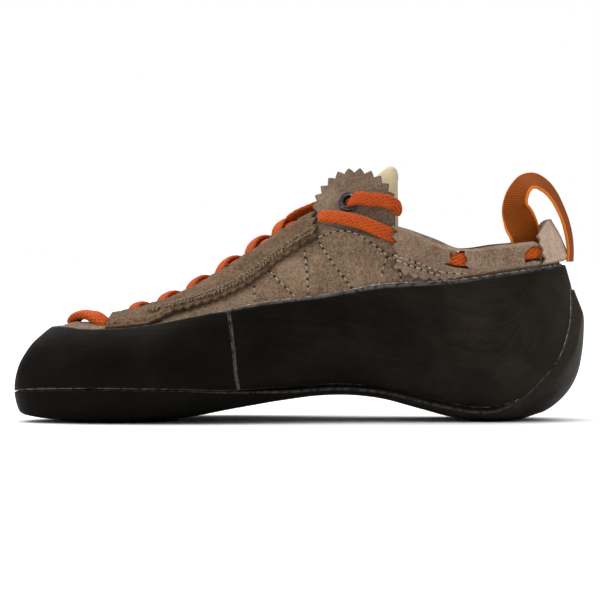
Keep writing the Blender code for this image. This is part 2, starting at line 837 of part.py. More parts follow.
def make_band(side):
    ends = side_turn(side, [BAND_START, BAND_END])
    turns = turns_between(ends.min(), ends.max())
    low = phi_on_line(turns, BAND_LOWER, STAY_INSIDE)
    high = phi_on_line(turns, BAND_TOP, STAY_INSIDE)
    rows = lace_rows(turns, low, high)
    offsets = np.array([STAY_INSIDE, STAY_INSIDE, BULGE_INSIDE, BULGE_INSIDE, STAY_INSIDE + GAP])
    grid = turns[:, None]
    inside = place(grid, rows, offsets[None, :])
    outside = place(grid, rows, offsets[None, :] + BAND_WALL)
    name = "collar_" + side
    band = loft(name, inside, outside, shoe)
    for number, along in enumerate(WINDOWS):
        cut(band, window_cutter(side, along, f"window_{side}_{number + 1}"))
    return finish(band, name, BAND_SUEDE, 0.95)


def make_heel_cap():
    end = round_share(CAP_END)
    turns = turns_between(-end, end)
    low = phi_on_line(turns, BAND_LOWER, STAY_INSIDE)
    high = phi_on_line(turns, CAP_TOP, BULGE_INSIDE)
    rows = lace_rows(turns, low, high)
    offsets = np.array([STAY_INSIDE] * 2 + [BULGE_INSIDE] * 3)
    grid = turns[:, None]
    inside = place(grid, rows, offsets[None, :])
    outside = place(grid, rows, offsets[None, :] + BAND_WALL)
    return finish(loft("heel_cap", inside, outside, shoe), "heel_cap", CAP_SUEDE, 0.95)


def make_collar_lace():
    """The lace's run from the throat's top, round the collar and back."""
    end = round_share(STAY_START) - 0.006
    turns = np.linspace(-end, end, 47)
    phi = phi_on_line(turns, COLLAR_LACE, LACE_CENTRE)
    points = place(turns, phi, LACE_CENTRE)
    upward = place(turns, phi + 0.01, LACE_CENTRE) - place(turns, phi - 0.01, LACE_CENTRE)
    out = last_normal(turns, phi)
    thing = sweep("lace_collar", points, upward, out, LACE_WIDTH, LACE_THICK, shoe, 6)
    return finish(thing, "lace_collar", LACE_ORANGE, 0.8)


def strand_path(start, end, hump):
    """Points from the medial eyestay over the ridge to the lateral one."""
    points, out = [], []
    for share in np.linspace(-1, 1, 9):
        along = start + (end - start) * (share + 1) / 2
        side = "medial" if share < 0 else "lateral"
        turn = side_turn(side, along)
        half = throat_half(np.array([turn]))[0]
        away = abs(share) * (half - LACE_TUCK)
        free = half - STAY_OVERHANG - LACE_CLEAR
        rise = np.sin(RIGHT_ANGLE * np.clip(1 - away / free, 0, 1))
        offset = LACE_LOW + (hump - LACE_LOW) * rise
        phi = phi_from_ridge(np.array([turn]), np.array([away]), 0.0)[0] if away > 0 else 1.0
        points.append(place(turn, phi, offset))
        out.append(last_normal(turn, phi))
    points = np.array(points)
    out = np.array(out)
    run = np.gradient(points, axis=0)
    wide = unit(np.cross(run, out))
    return points, wide, unit(np.cross(wide, run))


def make_crossing(number):
    """Two strands that cross over the tongue, joined where they cross."""
    fore, back = STATIONS[number], STATIONS[number + 1]
    spread = LACE_SPREAD / LAST_LENGTH
    name = f"lace_cross_{number + 1}"
    over = strand_path(fore - spread, back + spread, LACE_OVER)
    under = strand_path(back + spread, fore - spread, LACE_UNDER)
    thing = sweep(name, *over, LACE_WIDTH, LACE_THICK, shoe, 6)
    other = sweep("join_" + name, *under, LACE_WIDTH, LACE_THICK, shoe, 6)
    cut(thing, other, "UNION")
    return finish(thing, name, LACE_ORANGE, 0.8)


def make_toe_bar():
    points, out = [], []
    for share in np.linspace(-1, 1, 11):
        turn = TOE_BAR_MEDIAL if share < 0 else TOE_BAR_LATERAL
        away = abs(share) * TOE_BAR_REACH
        rise = np.sin(RIGHT_ANGLE * np.clip(1 - abs(share), 0, 1))
        phi = phi_from_ridge(np.array([turn]), np.array([away]), 0.0)[0] if away > 0 else 1.0
        points.append(place(turn, phi, LACE_CENTRE + rise * TOE_BAR_RISE))
        out.append(last_normal(turn, phi))
    points = np.array(points)
    run = np.gradient(points, axis=0)
    wide = unit(np.cross(run, np.array(out)))
    thing = sweep("lace_toe", points, wide, np.cross(wide, run), LACE_WIDTH, LACE_THICK, shoe, 6)
    return finish(thing, "lace_toe", LACE_ORANGE, 0.8)


# Free end of the lace on a tab: behind the eyelet, above it and outside the tab, as
# shares of TAB_RADIUS.
LACE_END = table(
    "behind above outside",
    (0.000, -0.006, 0.161),
    (0.207, 0.061, 0.161),
    (0.478, 0.067, 0.144),
    (0.775, 0.006, 0.111),
    (1.033, -0.083, 0.106),
    (1.240, -0.194, 0.067),
    (1.292, -0.278, -0.033),
)


def make_lace_end(side):
    """End of the lace, from its eyelet back round the tab's rear edge."""
    centre_x = HEEL_BACK - TAB_ALONG * LAST_LENGTH - EYELET_FORWARD
    eyelet_height = TAB_CENTRE_HEIGHT + EYELET_RISE
    rows = np.linspace(0, len(LACE_END["behind"]) - 1, 15)
    index = np.arange(len(LACE_END["behind"]), dtype=float)
    points, out = [], []
    for row in rows:
        x = centre_x + TAB_RADIUS * smooth(index, LACE_END["behind"], row)
        height = eyelet_height + TAB_RADIUS * smooth(index, LACE_END["above"], row)
        away = TAB_RADIUS * smooth(index, LACE_END["outside"], row)
        normal = tab_normal(side, x, height)
        points.append(tab_point(side, x, height, TAB_OUTSIDE) + normal * away)
        out.append(normal)
    points = np.array(points)
    run = np.gradient(points, axis=0)
    wide = unit(np.cross(run, np.array(out)))
    name = "lace_end_" + side
    thing = sweep(name, points, wide, np.cross(wide, run), LACE_WIDTH, LACE_THICK, shoe, 6)
    return finish(thing, name, LACE_ORANGE, 0.8)


# Pull loop from the cap's top edge at the heel's back, as shares of LOOP_SIZE: its
# middle line and the direction of its width.
LOOP_SIZE = 36.0 * MM
LOOP_ROUTE = table(
    "behind across above wide_x wide_y wide_z",
    (0.0459, 0.0000, -0.4528, 0.00, -1.00, 0.00),
    (0.0487, 0.0000, -0.2917, 0.00, -1.00, 0.00),
    (0.0292, 0.0000, -0.1250, 0.00, -1.00, 0.00),
    (-0.0124, 0.0000, 0.0417, 0.00, -1.00, 0.00),
    (-0.0763, -0.0111, 0.1972, -0.15, -0.98, -0.08),
    (-0.1541, -0.0333, 0.3389, -0.22, -0.95, -0.20),
    (-0.2485, -0.0611, 0.4472, -0.22, -0.90, -0.35),
    (-0.3735, -0.0944, 0.5139, -0.05, -0.85, -0.52),
    (-0.4958, -0.1278, 0.4917, 0.25, -0.75, -0.60),
    (-0.5902, -0.1611, 0.3639, 0.65, -0.60, -0.40),
    (-0.6235, -0.1944, 0.1917, 0.88, -0.42, 0.00),
    (-0.5847, -0.2333, 0.0361, 0.95, -0.20, 0.10),
    (-0.5402, -0.2722, -0.1361, 0.93, 0.30, 0.10),
    (-0.5291, -0.3056, -0.3194, 0.89, 0.46, 0.00),
    (-0.5235, -0.3333, -0.4861, 0.89, 0.46, 0.00),
)


def make_pull_loop():
    """Webbing from outside the heel, up, over and down inside the collar."""
    index = np.arange(len(LOOP_ROUTE["behind"]), dtype=float)
    rows = np.linspace(0, index[-1], 37)
    names = ("behind", "across", "above")
    points = np.stack([smooth(index, LOOP_ROUTE[n], rows) for n in names], axis=-1)
    cap_top = INSTEP_HEIGHT * smooth(CAP_TOP["along"], CAP_TOP["height"], 0.0)
    points = np.array([HEEL_BACK, 0.0, cap_top]) + LOOP_SIZE * points
    names = ("wide_x", "wide_y", "wide_z")
    wide = np.stack([smooth(index, LOOP_ROUTE[n], rows) for n in names], axis=-1)
    run = unit(np.gradient(points, axis=0))
    wide = unit(wide - run * np.sum(wide * run, axis=1, keepdims=True))
    out = np.cross(run, wide)
    thing = sweep("pull_loop", points, wide, out, WEBBING_WIDTH, WEBBING_THICK, shoe, 4)
    return finish(thing, "pull_loop", WEBBING_ORANGE, 0.7)


make_upper()
make_insole()
make_outsole()
make_rands()
make_tongue()
make_heel_cap()
make_collar_lace()
make_toe_bar()
make_pull_loop()
for number in range(CROSS_COUNT):
    make_crossing(number)
for side in ("medial", "lateral"):
    make_eyestay(side)
    make_tab(side)
    make_eyelet(side)
    make_band(side)
    make_lace_end(side)
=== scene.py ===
# %% [markdown]
# # A laced climbing shoe
# A low climbing shoe is a suede upper pulled over a last, wrapped in rubber and laced
# to the toes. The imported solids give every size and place. This file dresses them: each
# piece is built again on the same last at full detail, and takes the place of its solid.

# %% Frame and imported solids
import math

import bpy
import bmesh
import numpy as np
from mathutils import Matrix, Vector


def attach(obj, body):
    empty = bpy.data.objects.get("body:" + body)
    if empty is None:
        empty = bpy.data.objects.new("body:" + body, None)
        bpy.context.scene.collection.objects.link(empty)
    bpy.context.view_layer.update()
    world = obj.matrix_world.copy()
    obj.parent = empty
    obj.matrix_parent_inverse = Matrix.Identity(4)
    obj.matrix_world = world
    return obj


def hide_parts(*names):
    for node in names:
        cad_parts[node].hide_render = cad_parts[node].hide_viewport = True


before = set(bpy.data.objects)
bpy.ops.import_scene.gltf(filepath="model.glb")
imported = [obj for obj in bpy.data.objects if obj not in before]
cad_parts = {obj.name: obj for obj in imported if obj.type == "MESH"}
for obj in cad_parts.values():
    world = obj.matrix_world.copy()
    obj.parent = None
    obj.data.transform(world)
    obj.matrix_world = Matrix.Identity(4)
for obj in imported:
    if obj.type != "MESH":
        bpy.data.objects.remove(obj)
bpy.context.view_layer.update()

# %% [markdown]
# ## Camera
# The photograph is taken from the medial side, a little above the shoe's middle. One
# pixel is 0.43 mm, so the place of a detail is read straight from the picture.

# %% Camera
PIXEL = 0.00043
HEEL_PIXEL = 490.0
FLOOR_PIXEL = 420.5
PICTURE = 600
VIEW_DISTANCE = 1.6
VIEW_ELEVATION = math.radians(1.1)
AIM_Y = -0.008


def pixel_x(x):
    """Place along the shoe of a column of the photograph."""
    return (x - HEEL_PIXEL) * PIXEL


def pixel_z(y):
    """Height of a row of the photograph."""
    return (FLOOR_PIXEL - y) * PIXEL


def make_camera():
    data = bpy.data.cameras.new("camera")
    data.sensor_width = 36.0
    data.lens = data.sensor_width * VIEW_DISTANCE / (PICTURE * PIXEL)
    data.clip_start = 0.05
    data.clip_end = 20.0
    camera = bpy.data.objects.new("camera", data)
    bpy.context.scene.collection.objects.link(camera)
    target = Vector((pixel_x(PICTURE / 2), AIM_Y, pixel_z(PICTURE / 2)))
    back = Vector((0.0, -math.cos(VIEW_ELEVATION), math.sin(VIEW_ELEVATION)))
    camera.location = target + back * VIEW_DISTANCE
    camera.rotation_mode = "QUATERNION"
    camera.rotation_quaternion = (-back).to_track_quat("-Z", "Y")
    bpy.context.scene.camera = camera
    return camera


make_camera()
print("camera lens in mm:", round(bpy.context.scene.camera.data.lens, 1))

# %% [markdown]
# ## The last
# Everything is laid on the last. These are the same tables and the same surface as in
# the part's source: a turn that goes round the shoe, a phi that goes from the sole's
# middle (0) over the side (0.5) to the ridge (1), and a distance outwards.

# %% Sizes of the last and of the layers over it
MM = 0.001
# Driving sizes of the last
LAST_LENGTH = 232.5 * MM
BALL_WIDTH = 80.0 * MM
INSTEP_HEIGHT = 100.0 * MM

# Walls and clearances
GAP = 0.3 * MM
UPPER_WALL = 2.0 * MM
RAND_WALL = 2.2 * MM
STAY_WALL = 1.8 * MM
BAND_WALL = 1.4 * MM
TAB_WALL = 1.6 * MM
TONGUE_WALL = 1.6 * MM
INSOLE_WALL = 1.6 * MM
OUTSOLE_THICK = 5.0 * MM
OUTSOLE_EDGE = 3.3 * MM
OUTSOLE_CORNER = 0.5 * MM
LASTING_MARGIN = 12.0 * MM
LASTING_COVER = 6.0 * MM

# Laces, eyelets and pull loop
LACE_WIDTH = 5.4 * MM
LACE_THICK = 2.4 * MM
EYELET_RADIUS = 4.6 * MM
EYELET_BORE = 2.4 * MM
EYELET_BARREL = 0.5 * MM
EYELET_FLANGE = 0.7 * MM
TAB_RADIUS = 18.0 * MM
WEBBING_WIDTH = 14.0 * MM
WEBBING_THICK = 1.3 * MM

# Layers over the last, as distances along its normal
UPPER_OUTSIDE = UPPER_WALL
RAND_INSIDE = UPPER_WALL + GAP
RAND_OUTSIDE = RAND_INSIDE + RAND_WALL
STAY_INSIDE = UPPER_WALL + 2 * GAP
STAY_OUTSIDE = STAY_INSIDE + STAY_WALL
LACE_CENTRE = STAY_INSIDE + LACE_THICK / 2
BULGE_INSIDE = STAY_INSIDE + LACE_THICK + 2 * GAP
TAB_OUTSIDE = -4 * GAP
TONGUE_OUTSIDE = TAB_OUTSIDE - TAB_WALL - 3 * GAP - EYELET_FLANGE
HEEL_BACK = 0.143 * LAST_LENGTH
HEEL_SPINE = -0.017 * LAST_LENGTH
TOE_SPINE = -0.71 * LAST_LENGTH


# %% Tables of the last and its edges
def table(names, *rows):
    """Turn rows of numbers into named columns."""
    columns = np.array(rows, dtype=float).T
    return dict(zip(names.split(), columns))


# The last's outline from above: medial side heel to toe, then lateral side back.
# Shares: along of LAST_LENGTH, across of BALL_WIDTH, level of INSTEP_HEIGHT. The turn
# says how squarely the side turns under.
MEDIAL_OUTLINE = table(
    "along across level turn",
    (0.000, 0.000, 0.400, 2.8),
    (0.035, -0.220, 0.400, 3.0),
    (0.120, -0.325, 0.390, 4.2),
    (0.250, -0.330, 0.370, 5.0),
    (0.380, -0.335, 0.340, 5.5),
    (0.520, -0.410, 0.280, 4.5),
    (0.660, -0.490, 0.220, 2.8),
    (0.780, -0.505, 0.190, 2.4),
    (0.880, -0.470, 0.165, 2.4),
    (0.955, -0.375, 0.150, 2.4),
    (1.000, -0.200, 0.145, 2.4),
)
LATERAL_OUTLINE = table(
    "along across level turn",
    (0.985, -0.030, 0.145, 2.4),
    (0.930, 0.130, 0.150, 2.4),
    (0.850, 0.280, 0.160, 2.4),
    (0.750, 0.420, 0.180, 2.4),
    (0.640, 0.495, 0.210, 2.8),
    (0.520, 0.465, 0.260, 4.5),
    (0.380, 0.390, 0.320, 5.5),
    (0.250, 0.345, 0.360, 5.0),
    (0.120, 0.330, 0.390, 4.2),
    (0.035, 0.220, 0.400, 3.0),
)

# The last's spine from the side: ridge, bottom, and how squarely the ridge turns.
LAST_SPINE = table(
    "along centre bottom top turn",
    (0.140, 0.000, 0.067, 1.010, 1.7),
    (0.200, 0.000, 0.083, 1.060, 1.8),
    (0.260, 0.000, 0.122, 1.120, 1.9),
    (0.330, 0.000, 0.166, 1.140, 2.0),
    (0.400, -0.005, 0.186, 1.010, 2.0),
    (0.460, -0.010, 0.184, 0.900, 2.0),
    (0.540, -0.020, 0.160, 0.765, 2.0),
    (0.620, -0.040, 0.125, 0.635, 2.0),
    (0.700, -0.075, 0.090, 0.525, 2.1),
    (0.780, -0.120, 0.068, 0.455, 2.1),
    (0.860, -0.175, 0.067, 0.415, 2.1),
)

# Where the outsole's edge runs round the last, from heel back (0) to toe tip (1).
SOLE_LINE = table(
    "round height",
    (0.000, 0.548),
    (0.050, 0.530),
    (0.075, 0.410),
    (0.108, 0.280),
    (0.142, 0.205),
    (0.178, 0.130),
    (0.225, 0.085),
    (0.280, 0.082),
    (0.330, 0.112),
    (0.390, 0.162),
    (0.450, 0.180),
    (0.520, 0.168),
    (0.580, 0.155),
    (0.650, 0.153),
    (0.750, 0.150),
    (1.000, 0.131),
)

# Edges seen from the side, as shares of LAST_LENGTH and INSTEP_HEIGHT.
RAND_TOP = table(
    "along height",
    (0.000, 0.672),
    (0.113, 0.636),
    (0.217, 0.603),
    (0.347, 0.585),
    (0.457, 0.542),
    (0.579, 0.512),
    (0.667, 0.470),
    (0.748, 0.430),
    (0.843, 0.404),
    (0.900, 0.404),
    (0.926, 0.412),
    (1.000, 0.412),
)
COLLAR_EDGE = table(
    "along height",
    (0.000, 0.800),
    (0.040, 0.770),
    (0.100, 0.735),
    (0.170, 0.722),
    (0.210, 0.722),
    (0.250, 0.760),
    (0.300, 0.790),
    (0.340, 0.790),
    (0.400, 0.820),
    (0.480, 0.850),
)
STAY_LOWER = table(
    "along height",
    (0.445, 0.800),
    (0.477, 0.767),
    (0.506, 0.725),
    (0.536, 0.677),
    (0.569, 0.616),
    (0.604, 0.564),
    (0.639, 0.527),
    (0.675, 0.499),
    (0.712, 0.475),
    (0.771, 0.445),
    (0.860, 0.445),
)
BAND_LOWER = table(
    "along height",
    (0.000, 0.685),
    (0.057, 0.664),
    (0.113, 0.646),
    (0.217, 0.613),
    (0.245, 0.612),
    (0.285, 0.622),
    (0.310, 0.650),
    (0.330, 0.690),
)
BAND_TOP = table(
    "along height",
    (0.050, 0.772),
    (0.130, 0.754),
    (0.210, 0.742),
    (0.243, 0.775),
    (0.270, 0.799),
    (0.300, 0.823),
    (0.330, 0.835),
)
CAP_TOP = table(
    "along height",
    (-0.030, 0.835),
    (0.000, 0.845),
    (0.030, 0.862),
    (0.045, 0.850),
    (0.060, 0.790),
)

# Half the opening that the throat leaves in the upper, as shares of BALL_WIDTH.
THROAT = table(
    "along half",
    (0.400, 0.240),
    (0.440, 0.195),
    (0.480, 0.165),
    (0.600, 0.145),
    (0.740, 0.120),
    (0.880, 0.090),
)

# The lace round the collar, by its middle line from the side.
COLLAR_LACE = table(
    "along height",
    (-0.040, 0.740),
    (0.000, 0.738),
    (0.060, 0.724),
    (0.140, 0.700),
    (0.207, 0.692),
    (0.260, 0.725),
    (0.302, 0.775),
    (0.345, 0.815),
    (0.384, 0.850),
    (0.420, 0.868),
    (0.452, 0.872),
    (0.478, 0.862),
)

# Columns of the solids along each side of the last; the rands meet on one of them.
COLUMNS = 30
SIDES = ("medial", "lateral")
OUTWARD = {"medial": -1.0, "lateral": 1.0}
RIGHT_ANGLE = np.pi / 2


# %% Surface of the last
def smooth(across, values, at):
    """Smooth curve through a table's points."""
    slopes = np.gradient(values, across)
    row = np.clip(np.searchsorted(across, at) - 1, 0, len(across) - 2)
    step = across[row + 1] - across[row]
    t = np.clip((at - across[row]) / step, 0.0, 1.0)
    rise = values[row + 1] - values[row]
    start = slopes[row] * step
    end = slopes[row + 1] * step
    curve = values[row] + t * start + t * t * (3 * rise - 2 * start - end)
    return curve + t ** 3 * (start + end - 2 * rise)


def ease(share):
    """Soft start and end for a share that goes from 0 to 1."""
    return share * share * (3 - 2 * share)


def round_share(along):
    """Place round the loop, 0 at the heel back and 1 at the toe tip."""
    return np.arccos(1 - 2 * along) / np.pi


def outline_columns():
    """The outline's tables joined into one loop that repeats at both ends."""
    medial = round_share(MEDIAL_OUTLINE["along"])
    lateral = 2 - round_share(LATERAL_OUTLINE["along"])
    turn = np.concatenate([medial, lateral])
    result = {"round": np.concatenate([turn - 2, turn, turn + 2])}
    for name in ("across", "level", "turn"):
        values = np.concatenate([MEDIAL_OUTLINE[name], LATERAL_OUTLINE[name]])
        result[name] = np.tile(values, 3)
    return result


OUTLINE = outline_columns()


def spine_x(x):
    """Foot of each section on the spine, which fans out at heel and toe."""
    soft = 0.03 * LAST_LENGTH
    above = soft * np.logaddexp(0, (x - HEEL_SPINE) / soft)
    below = soft * np.logaddexp(0, (TOE_SPINE - x) / soft)
    return x - 0.88 * above + 0.88 * below


def spine_values(x):
    along = (HEEL_BACK - x) / LAST_LENGTH
    names = ("centre", "bottom", "top", "turn")
    return [smooth(LAST_SPINE["along"], LAST_SPINE[name], along) for name in names]


def last_point(turn, phi):
    """Point on the last: turn goes round it, phi from sole (0) to ridge (1)."""
    turn, phi = np.broadcast_arrays(turn, phi)
    edge_x = HEEL_BACK - LAST_LENGTH * (1 - np.cos(np.pi * turn)) / 2
    edge_y = BALL_WIDTH * smooth(OUTLINE["round"], OUTLINE["across"], turn)
    level = INSTEP_HEIGHT * smooth(OUTLINE["round"], OUTLINE["level"], turn)
    foot_x = spine_x(edge_x)
    turn_below = smooth(OUTLINE["round"], OUTLINE["turn"], turn)
    centre, bottom, top, turn_above = spine_values(foot_x)
    foot_y = BALL_WIDTH * centre
    power = 2 / np.where(phi < 0.5, turn_below, turn_above)
    reach = np.abs(np.sin(np.pi * phi)) ** power
    rise = np.abs(np.cos(np.pi * phi)) ** power
    end = INSTEP_HEIGHT * np.where(phi < 0.5, bottom, top)
    x = foot_x + (edge_x - foot_x) * reach
    y = foot_y + (edge_y - foot_y) * reach
    z = level + (end - level) * rise
    return np.stack([x, y, z], axis=-1)


def unit(vectors):
    length = np.linalg.norm(vectors, axis=-1, keepdims=True)
    return vectors / np.maximum(length, 1e-12)


def last_normal(turn, phi):
    """Outward normal of the last."""
    turn, phi = np.broadcast_arrays(turn, phi)
    small = 1e-3
    inner = np.clip(phi, 4 * small, 1 - 4 * small)
    along = last_point(turn + small, inner) - last_point(turn - small, inner)
    upward = last_point(turn, inner + small) - last_point(turn, inner - small)
    normal = unit(np.cross(upward, along))
    on_spine = (phi <= 0) | (phi >= 1)
    if np.any(on_spine):
        foot = last_point(turn, phi)[..., 0]
        step = 2 * MM
        ends = [spine_values(foot + side * step) for side in (-1, 1)]
        bottom_slope = (ends[1][1] - ends[0][1]) * INSTEP_HEIGHT / (2 * step)
        top_slope = (ends[1][2] - ends[0][2]) * INSTEP_HEIGHT / (2 * step)
        low = phi <= 0
        slope = np.where(low, bottom_slope, -top_slope)
        flat = np.where(low, -1.0, 1.0)
        spine = unit(np.stack([slope, np.zeros_like(slope), flat], axis=-1))
        normal = np.where(on_spine[..., None], spine, normal)
    return normal


def place(turn, phi, offset):
    """Point at a distance from the last, outwards."""
    turn, phi, offset = np.broadcast_arrays(turn, phi, offset)
    return last_point(turn, phi) + last_normal(turn, phi) * offset[..., None]


PHI_SCAN = np.linspace(0.01, 0.995, 400)


def first_crossing(values):
    """Phi at which each row of values first turns positive."""
    found = []
    for row in values:
        hits = np.nonzero(row >= 0)[0]
        index = int(hits[0]) if len(hits) else len(PHI_SCAN) - 1
        if index == 0:
            found.append(PHI_SCAN[0])
            continue
        low, high = row[index - 1], row[index]
        share = np.clip(-low / (high - low), 0, 1) if high != low else 0
        found.append(PHI_SCAN[index - 1] + share * (PHI_SCAN[1] - PHI_SCAN[0]))
    return np.array(found)


def phi_on_line(turns, line, offset, lift=0.0):
    """Phi where the surface at an offset crosses an edge drawn from the side."""
    points = place(np.asarray(turns)[:, None], PHI_SCAN[None, :], offset)
    along = (HEEL_BACK - points[..., 0]) / LAST_LENGTH
    height = INSTEP_HEIGHT * smooth(line["along"], line["height"], along) + lift
    return first_crossing(points[..., 2] - height)


def phi_from_ridge(turns, halves, offset):
    """Phi where the surface at an offset comes within a distance of the ridge."""
    points = place(np.asarray(turns)[:, None], PHI_SCAN[None, :], offset)
    spine = place(np.asarray(turns), 1.0, offset)
    away = np.linalg.norm((points - spine[:, None, :])[..., :2], axis=-1)
    above = PHI_SCAN[None, :] > 0.5
    return first_crossing(np.where(above, np.asarray(halves)[:, None] - away, -1.0))


def phi_under(turns, margin):
    """Phi on the underside at a margin inside the last's edge."""
    points = last_point(np.asarray(turns)[:, None], PHI_SCAN[None, :])
    edge = last_point(np.asarray(turns), 0.5)
    away = np.linalg.norm((points - edge[:, None, :])[..., :2], axis=-1)
    below = PHI_SCAN[None, :] < 0.5
    margin = np.broadcast_to(margin, np.shape(turns))[:, None]
    return first_crossing(np.where(below, margin - away, 1.0))


def foot_along(turns):
    return (HEEL_BACK - last_point(np.asarray(turns), 1.0)[..., 0]) / LAST_LENGTH


def edge_along(turns):
    return (HEEL_BACK - last_point(np.asarray(turns), 0.5)[..., 0]) / LAST_LENGTH


def sole_line_height(turns):
    share = np.abs((turns + 1) % 2 - 1)
    return INSTEP_HEIGHT * smooth(SOLE_LINE["round"], SOLE_LINE["height"], share)


def sole_line_phi(turns, offset, clear=0.0):
    """Phi of the outsole's edge, or of a line that runs clear above it."""
    turns = np.asarray(turns)
    small = 1e-3
    climb = sole_line_height(turns + small) - sole_line_height(turns - small)
    along = last_point(turns + small, 0.5) - last_point(turns - small, 0.5)
    steep = np.hypot(1.0, climb / np.linalg.norm(along, axis=-1))
    height = sole_line_height(turns) + clear * steep
    points = place(turns[:, None], PHI_SCAN[None, :], offset)
    return first_crossing(points[..., 2] - height[:, None])


def lasting_margin(turns):
    """How far in the upper is turned under: always past the outsole's own edge."""
    line = last_point(turns, sole_line_phi(turns, RAND_INSIDE))
    edge = last_point(turns, 0.5)
    away = np.linalg.norm((line - edge)[:, :2], axis=-1)
    return np.maximum(LASTING_MARGIN, away + LASTING_COVER)


def throat_half(turns):
    return BALL_WIDTH * smooth(THROAT["along"], THROAT["half"], foot_along(turns))


def upper_top_phi(turns):
    """The upper's top edge: the throat in front, the collar behind."""
    collar = phi_on_line(turns, COLLAR_EDGE, UPPER_OUTSIDE)
    throat = phi_from_ridge(turns, throat_half(turns), UPPER_OUTSIDE)
    along = edge_along(turns)
    blend = ease(np.clip((along - 0.42) / 0.06, 0, 1))
    return collar * (1 - blend) + throat * blend

# %% [markdown]
# ## Tools for meshes
# Leather, rubber and cloth here are all sheets of even thickness with a rounded cut edge.
# A sheet is a grid on the last's surface between two drawn edges. It could be solidified,
# but then its rim would be square, so the thickness falls off in a quarter circle
# towards each edge.

# %% Sheets on the last
COARSE = 161


def edge(turns, drawn, *rest, **more):
    """An edge's phi, worked out on few columns and read off for many."""
    few = np.linspace(turns.min(), turns.max(), COARSE)
    return np.interp(turns, few, drawn(few, *rest, **more))


def lengths(points):
    """Distance run along a line of points."""
    steps = np.linalg.norm(np.diff(points, axis=0), axis=1)
    return np.concatenate([[0.0], np.cumsum(steps)])


def lengths_across(grid):
    """Distance run across each row of a grid of points."""
    steps = np.linalg.norm(np.diff(grid, axis=1), axis=2)
    return np.cumsum(np.concatenate([0 * steps[:, :1], steps], axis=1), axis=1)


def rim_steps(rim, count=5):
    """Distances from an edge at which a round rim has its rows."""
    return rim * (1 - np.cos(np.linspace(0, RIGHT_ANGLE, count)))


def quarter_round(share, least=0.0):
    """Height of a quarter circle: 0 at its edge, 1 from a share of 1 on."""
    return np.sqrt(np.clip(1 - (1 - np.minimum(share, 1)) ** 2, least, 1))


def columns(start, end, pitch, rim=0.0):
    """Turns at an even pitch between two ends, closer together in the rims."""
    few = np.linspace(start, end, 2 * COARSE)
    run = lengths(last_point(few, 0.5))
    steps = rim_steps(rim) if rim else np.array([0.0])
    count = int((run[-1] - 2 * steps[-1]) / pitch) + 2
    inner = np.linspace(steps[-1], run[-1] - steps[-1], count)
    at = np.concatenate([steps[:-1], inner, run[-1] - steps[-2::-1]]) if rim else inner
    return np.interp(at, run, few)


def noise(points, wave, seed, count=9):
    """Soft even noise about zero, made of waves in many directions."""
    rng = np.random.default_rng(seed)
    total = np.zeros(points.shape[:-1])
    for _ in range(count):
        direction = rng.normal(size=3)
        direction *= 2 * np.pi / wave / np.linalg.norm(direction) * rng.uniform(0.6, 1.5)
        total += np.sin(points @ direction + rng.uniform(0, 2 * np.pi))
    return total / math.sqrt(count)


def uneven(points, seed, *waves):
    """Noise from pairs of depth and wave length in millimetres."""
    return sum(depth * MM * noise(points, wave * MM, seed + n)
               for n, (depth, wave) in enumerate(waves, 1))


def teeth(run, pitch, depth, tip, seed, variation=0.22):
    """Pinked edge: how far each point of it stands out, by the distance along it."""
    rng = np.random.default_rng(seed)
    steps = run / pitch
    number = np.floor(steps).astype(int)
    count = number.max() - min(number.min(), 0) + 2
    size = depth * (1 + variation * rng.uniform(-1, 1, count))
    return size[number] * (1 - np.abs(2 * (steps - number) - 1) ** tip)


def add_object(name, data):
    """Object in the scene from a mesh, lamp or camera."""
    thing = bpy.data.objects.new(name, data)
    bpy.context.scene.collection.objects.link(thing)
    return thing


def face_outward(mesh, fill=False):
    """Turn a mesh's faces outward, after its open ends are filled where that is asked."""
    bm = bmesh.new()
    bm.from_mesh(mesh)
    if fill:
        bmesh.ops.holes_fill(bm, edges=bm.edges)
    bmesh.ops.recalc_face_normals(bm, faces=bm.faces)
    bm.to_mesh(mesh)
    bm.free()


def build(name, verts, faces, uv=None, values=None, materials=(), index=None):
    """Mesh object from arrays, smooth, with a UV map in millimetres."""
    mesh = bpy.data.meshes.new(name)
    mesh.from_pydata(verts.tolist(), [], faces if isinstance(faces, list) else faces.tolist())
    mesh.polygons.foreach_set("use_smooth", np.ones(len(mesh.polygons), dtype=bool))
    if uv is not None:
        layer = mesh.uv_layers.new(name="UVMap")
        layer.data.foreach_set("uv", np.asarray(uv, dtype=np.float32).ravel())
    for key, data in (values or {}).items():
        attribute = mesh.attributes.new(key, "FLOAT", "POINT")
        attribute.data.foreach_set("value", np.asarray(data, dtype=np.float32).ravel())
    for material in materials:
        mesh.materials.append(material)
    if index is not None:
        mesh.polygons.foreach_set("material_index", np.asarray(index, dtype=np.int32))
    mesh.update()
    return add_object(name, mesh)


def corners(grid, loop, flip):
    """The four corners of each cell of a grid, whose rows may close to a loop."""
    here, there = (grid, np.roll(grid, -1, axis=0)) if loop else (grid[:-1], grid[1:])
    a, b, c, d = here[:, :-1], there[:, :-1], there[:, 1:], here[:, 1:]
    return np.stack((a, d, c, b) if flip else (a, b, c, d), axis=-1)


def corner_uv(u, v, loop, flip):
    """UV in millimetres at the corners of a grid's cells: u for a row, v for a point."""
    ends = np.append(u, u[-1] + (u[-1] - u[-2])) if loop else u
    along = np.repeat(ends[:, None], v.shape[1], axis=1)
    both = np.stack([corners(along, False, flip), corners(v, loop, flip)], axis=-1)
    return both.reshape(-1, 2) / MM


